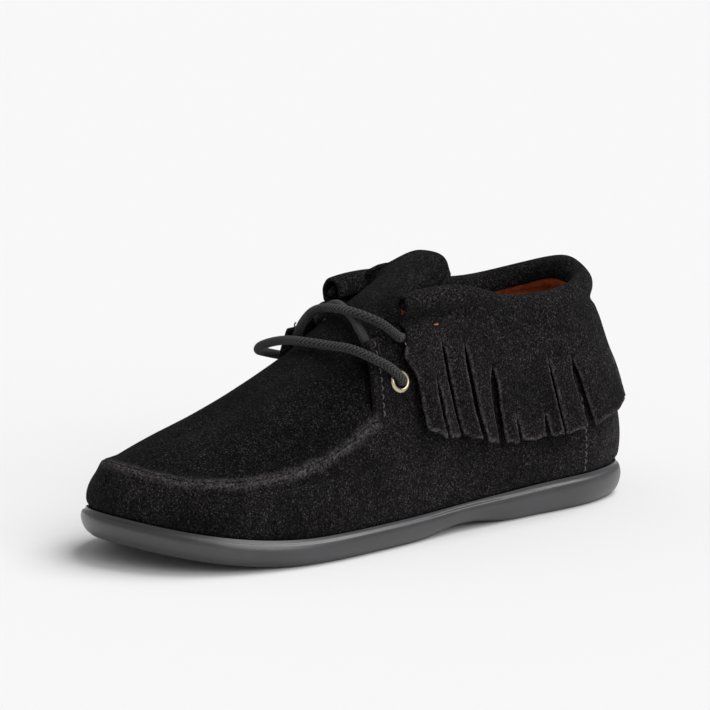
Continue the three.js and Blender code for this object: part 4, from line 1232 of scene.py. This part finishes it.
EYELETS = {
    (side, level): eyelet_place(side, *where)
    for side in (1, -1) for level, where in (("lower", (12, 0.739)), ("upper", (20.5, 0.903)))
}
# Section of an eyelet in millimetres: distance from its axis, and height over the leather
RING = [
    (2.30, -2.2), (2.75, -2.2), (2.75, 0.05), (3.95, 0.08), (4.02, 0.40), (3.75, 0.82), (3.20, 1.06),
    (2.68, 0.96), (2.34, 0.5),
]


def eyelet(name, point, normal):
    across = np.cross(normal, (0, 0, 1.0))
    across /= np.linalg.norm(across)
    over = np.cross(across, normal)

    def ring_column(u, rows):
        profile = curve_through(RING, len(rows), closed=True)
        away = math.cos(2 * math.pi * u) * across + math.sin(2 * math.pi * u) * over
        return point + profile[:, :1] * away + profile[:, 1:] * normal

    piece = lay(name, 48, 36, ring_column)
    cap_ends(piece)
    return piece


for (side, level_name), (point, normal) in EYELETS.items():
    side_name = "outer" if side > 0 else "inner"
    ring = eyelet(f"eyelet_ring_{side_name}_{level_name}", point, normal)
    settle(ring, brass, "eyelet", f"eyelet_{side_name}_{level_name}")

# %% [markdown]
# The laces cross once over the tongue and have no bow. The lower one comes out of both lower eyelets. The
# upper two cross each other, and each goes on inside the facing towards its eyelet, where its end is
# hidden. They are laid as tubes along routes in millimetres from the heel, the middle line and the floor.
# A plait is a tube with a pattern that follows it, so the tube's UV map runs round it and along it.

# %% Laces
BOTTOM = [
    (118.6, 31.2, 58.4), (123.8, 28, 62), (126.4, 20, 64.2), (127.5, 10, 64.2), (127.3, -5, 63.5),
    (127, -14, 62.7), (127.6, -21, 61.2), (128, -26.6, 59.2), (126, -30.8, 57), (122, -32.6, 55.6),
    (118.6, -31.5, 54.6),
]
OVER = [
    (112.8, 28.0, 67.6), (114, 26.0, 69.4), (115.4, 21.6, 71.8), (115.8, 9, 73.6),
    (113.4, -4, 73.1), (113.6, -12, 72.2), (114.8, -15.6, 70.6), (117, -17.0, 67.8), (118.5, -18.0, 64.5),
    (117.5, -20.5, 60.0),
]
UNDER = [
    (116.5, 23.0, 58.0), (119.2, 22.4, 62.4), (119.8, 19.8, 65.4), (118.8, 16.4, 67.6), (117.2, 12, 69.5),
    (115, 7.4, 71.1), (112.4, -1, 73.2), (110.8, -7.0, 73.9), (110.4, -11.5, 72.6), (110.2, -15.5, 70.0),
    (109.6, -18.6, 66.8),
]


def through(side, level_name, *depths):
    point, normal = EYELETS[side, level_name]
    return [point + normal * depth for depth in depths]


# Under the flap the upper lace lies on the quarter
OVER_START = []
for back_off, height, out in ((18.0, 66.0, 0.7), (14.6, 66.6, 1.6)):
    point, normal = eyelet_place(1, back_off, height / TOPLINE_HEIGHT)
    OVER_START.append(point + normal * out)


def tube_column(line, u, rows, radius, upright=(0, 0, 1.0)):
    """A ring of points round a line at u."""
    k = u * (len(line) - 1)
    i = int(np.clip(round(k), 1, len(line) - 2))
    centre = np.array([np.interp(k, np.arange(len(line)), line[:, c]) for c in range(3)])
    ahead = line[i + 1] - line[i - 1]
    ahead /= np.linalg.norm(ahead)
    beside = np.cross(ahead, upright)
    beside /= np.linalg.norm(beside)
    angle = 2 * np.pi * rows[:, None]
    return centre + radius * (np.cos(angle) * beside + np.sin(angle) * np.cross(beside, ahead))


def lace(name, route, *nodes):
    line = curve_through(route, 300)
    length = np.linalg.norm(np.diff(line, axis=0), axis=1).sum()
    piece = lay(name, int(length / 0.6), 20, lambda u, rows: tube_column(line, u, rows, LACE_DIAMETER / 2))
    turned = piece.data.uv_layers.active.data
    flat = np.empty(len(turned) * 2)
    turned.foreach_get("uv", flat)
    turned.foreach_set("uv", flat.reshape(-1, 2)[:, ::-1].ravel())
    cap_ends(piece)
    print(name, "length:", round(length), "mm")
    braid = finish(f"{name}_plait", plait, {"Along": float(round(length / 1.05))}, Sheen_Weight=0.08)
    return settle(piece, braid, "lace", *nodes)


routes = {
    "lace_bottom": through(1, "lower", -4.0, -1.0, 1.6) + BOTTOM + through(-1, "lower", 2.0, -1.0, -4.0),
    "lace_over": through(1, "upper", -3.0, -0.6) + OVER_START + OVER + through(-1, "lower", -3.5),
    "lace_under": through(1, "lower", -3.5) + UNDER + through(-1, "upper", -3.0),
}
lace("lace_bottom", routes["lace_bottom"], "lace_bar")
lace("lace_over", routes["lace_over"], "lace_cross")
lace("lace_under", routes["lace_under"])

# %% [markdown]
# A seam's thread comes up through the leather and dips back at even steps, so each stitch is a short thread
# bent down at its ends. One row runs behind each facing, one holds the heel counter, and a rust-coloured
# end of thread shows under the roll.

# %% Stitches
STITCH_LENGTH, STITCH_PITCH, THREAD_RADIUS = 1.7, 2.7, 0.25
# A row behind the facing and one at the heel counter: its run, and the heights it starts and ends at
STITCH_ROWS = ((FACING_RUN + 0.016, 44.0, 68.0), (0.797, 13.0, 39.0))


def stitch(name, point, along, normal):
    line = np.array([
        point + along * t * STITCH_LENGTH + normal * (0.40 - 2.6 * t * t) for t in np.linspace(-0.5, 0.5, 9)
    ])
    piece = lay(name, 8, 8, lambda u, rows: tube_column(line, u, rows, THREAD_RADIUS, normal))
    cap_ends(piece)
    return piece


stitched = []
for side in (1, -1):
    for run, low, high in STITCH_ROWS:
        for z in np.arange(low, high, STITCH_PITCH):
            normal, rise = wall_directions(side, run, z)
            point = wall_point(side, run, z, facing_shift(side, run))[0]
            stitched.append(stitch(f"stitch_{len(stitched)}", point, rise, normal))
stitching = sew(stitched, 1e-7)
stitching.name = stitching.data.name = "stitching"
thread = finish("pale_thread", even, {
    "Dark": (0.03, 0.027, 0.028), "Light": (0.10, 0.088, 0.09), "Smoothness": 0.7,
})
settle(stitching, thread, "lace")

thread_run = flap_run(1, 0.10)
normal, rise = wall_directions(1, thread_run, 60.0)
under_roll = hang_point(1, thread_run, 2.4)[0] + normal * 0.1
thread_end = stitch("thread_end", under_roll, np.cross(rise, normal), normal)
settle(thread_end, lining_leather, "lining")

# %% [markdown]
# ## Floor and light
# A wide pale floor fills the picture. It is plain paper, dull and nearly white, and stands for no part.

# %% Floor
bpy.ops.object.select_all(action="DESELECT")
bpy.ops.mesh.primitive_plane_add(size=40.0)
floor = bpy.context.object
floor.name = "floor"
paper = bpy.data.materials.new("paper")
paper.use_nodes = True
paper_shader = paper.node_tree.nodes["Principled BSDF"]
paper_shader.inputs["Base Color"].default_value = (0.80, 0.80, 0.80, 1)
paper_shader.inputs["Roughness"].default_value = 1.0
paper_shader.inputs["Specular IOR Level"].default_value = 0.0
floor.data.materials.append(paper)
print("floor:", [round(size, 1) for size in floor.dimensions[:2]], "m")

# %% [markdown]
# Both lights are suns with a wide disc, far away, so the floor is lit alike all over and shadows stay soft.
# The even world fills in the rest.


# %% Light
def far_light(name, azimuth, elevation, power, spread_angle):
    """A far, wide light, so the floor is lit alike all over."""
    bpy.ops.object.select_all(action="DESELECT")
    bpy.ops.object.light_add(type="SUN", location=(0, 0, 2))
    light = bpy.context.object
    light.name = name
    light.data.energy, light.data.angle = power, math.radians(spread_angle)
    turn, lift = math.radians(azimuth), math.radians(elevation)
    towards = Vector((math.cos(turn) * math.cos(lift), math.sin(turn) * math.cos(lift), math.sin(lift)))
    light.rotation_euler = towards.to_track_quat("Z", "Y").to_euler()
    return light


far_light("light_over", 160, 62, 2.0, 45)
far_light("light_front", 95, 32, 1.5, 50)
world = bpy.data.worlds.new("studio")
bpy.context.scene.world = world
world.use_nodes = True
world.node_tree.nodes["Background"].inputs["Color"].default_value = (1.0, 1.0, 1.0, 1)
world.node_tree.nodes["Background"].inputs["Strength"].default_value = 0.36
bpy.context.scene.view_settings.view_transform = "Standard"
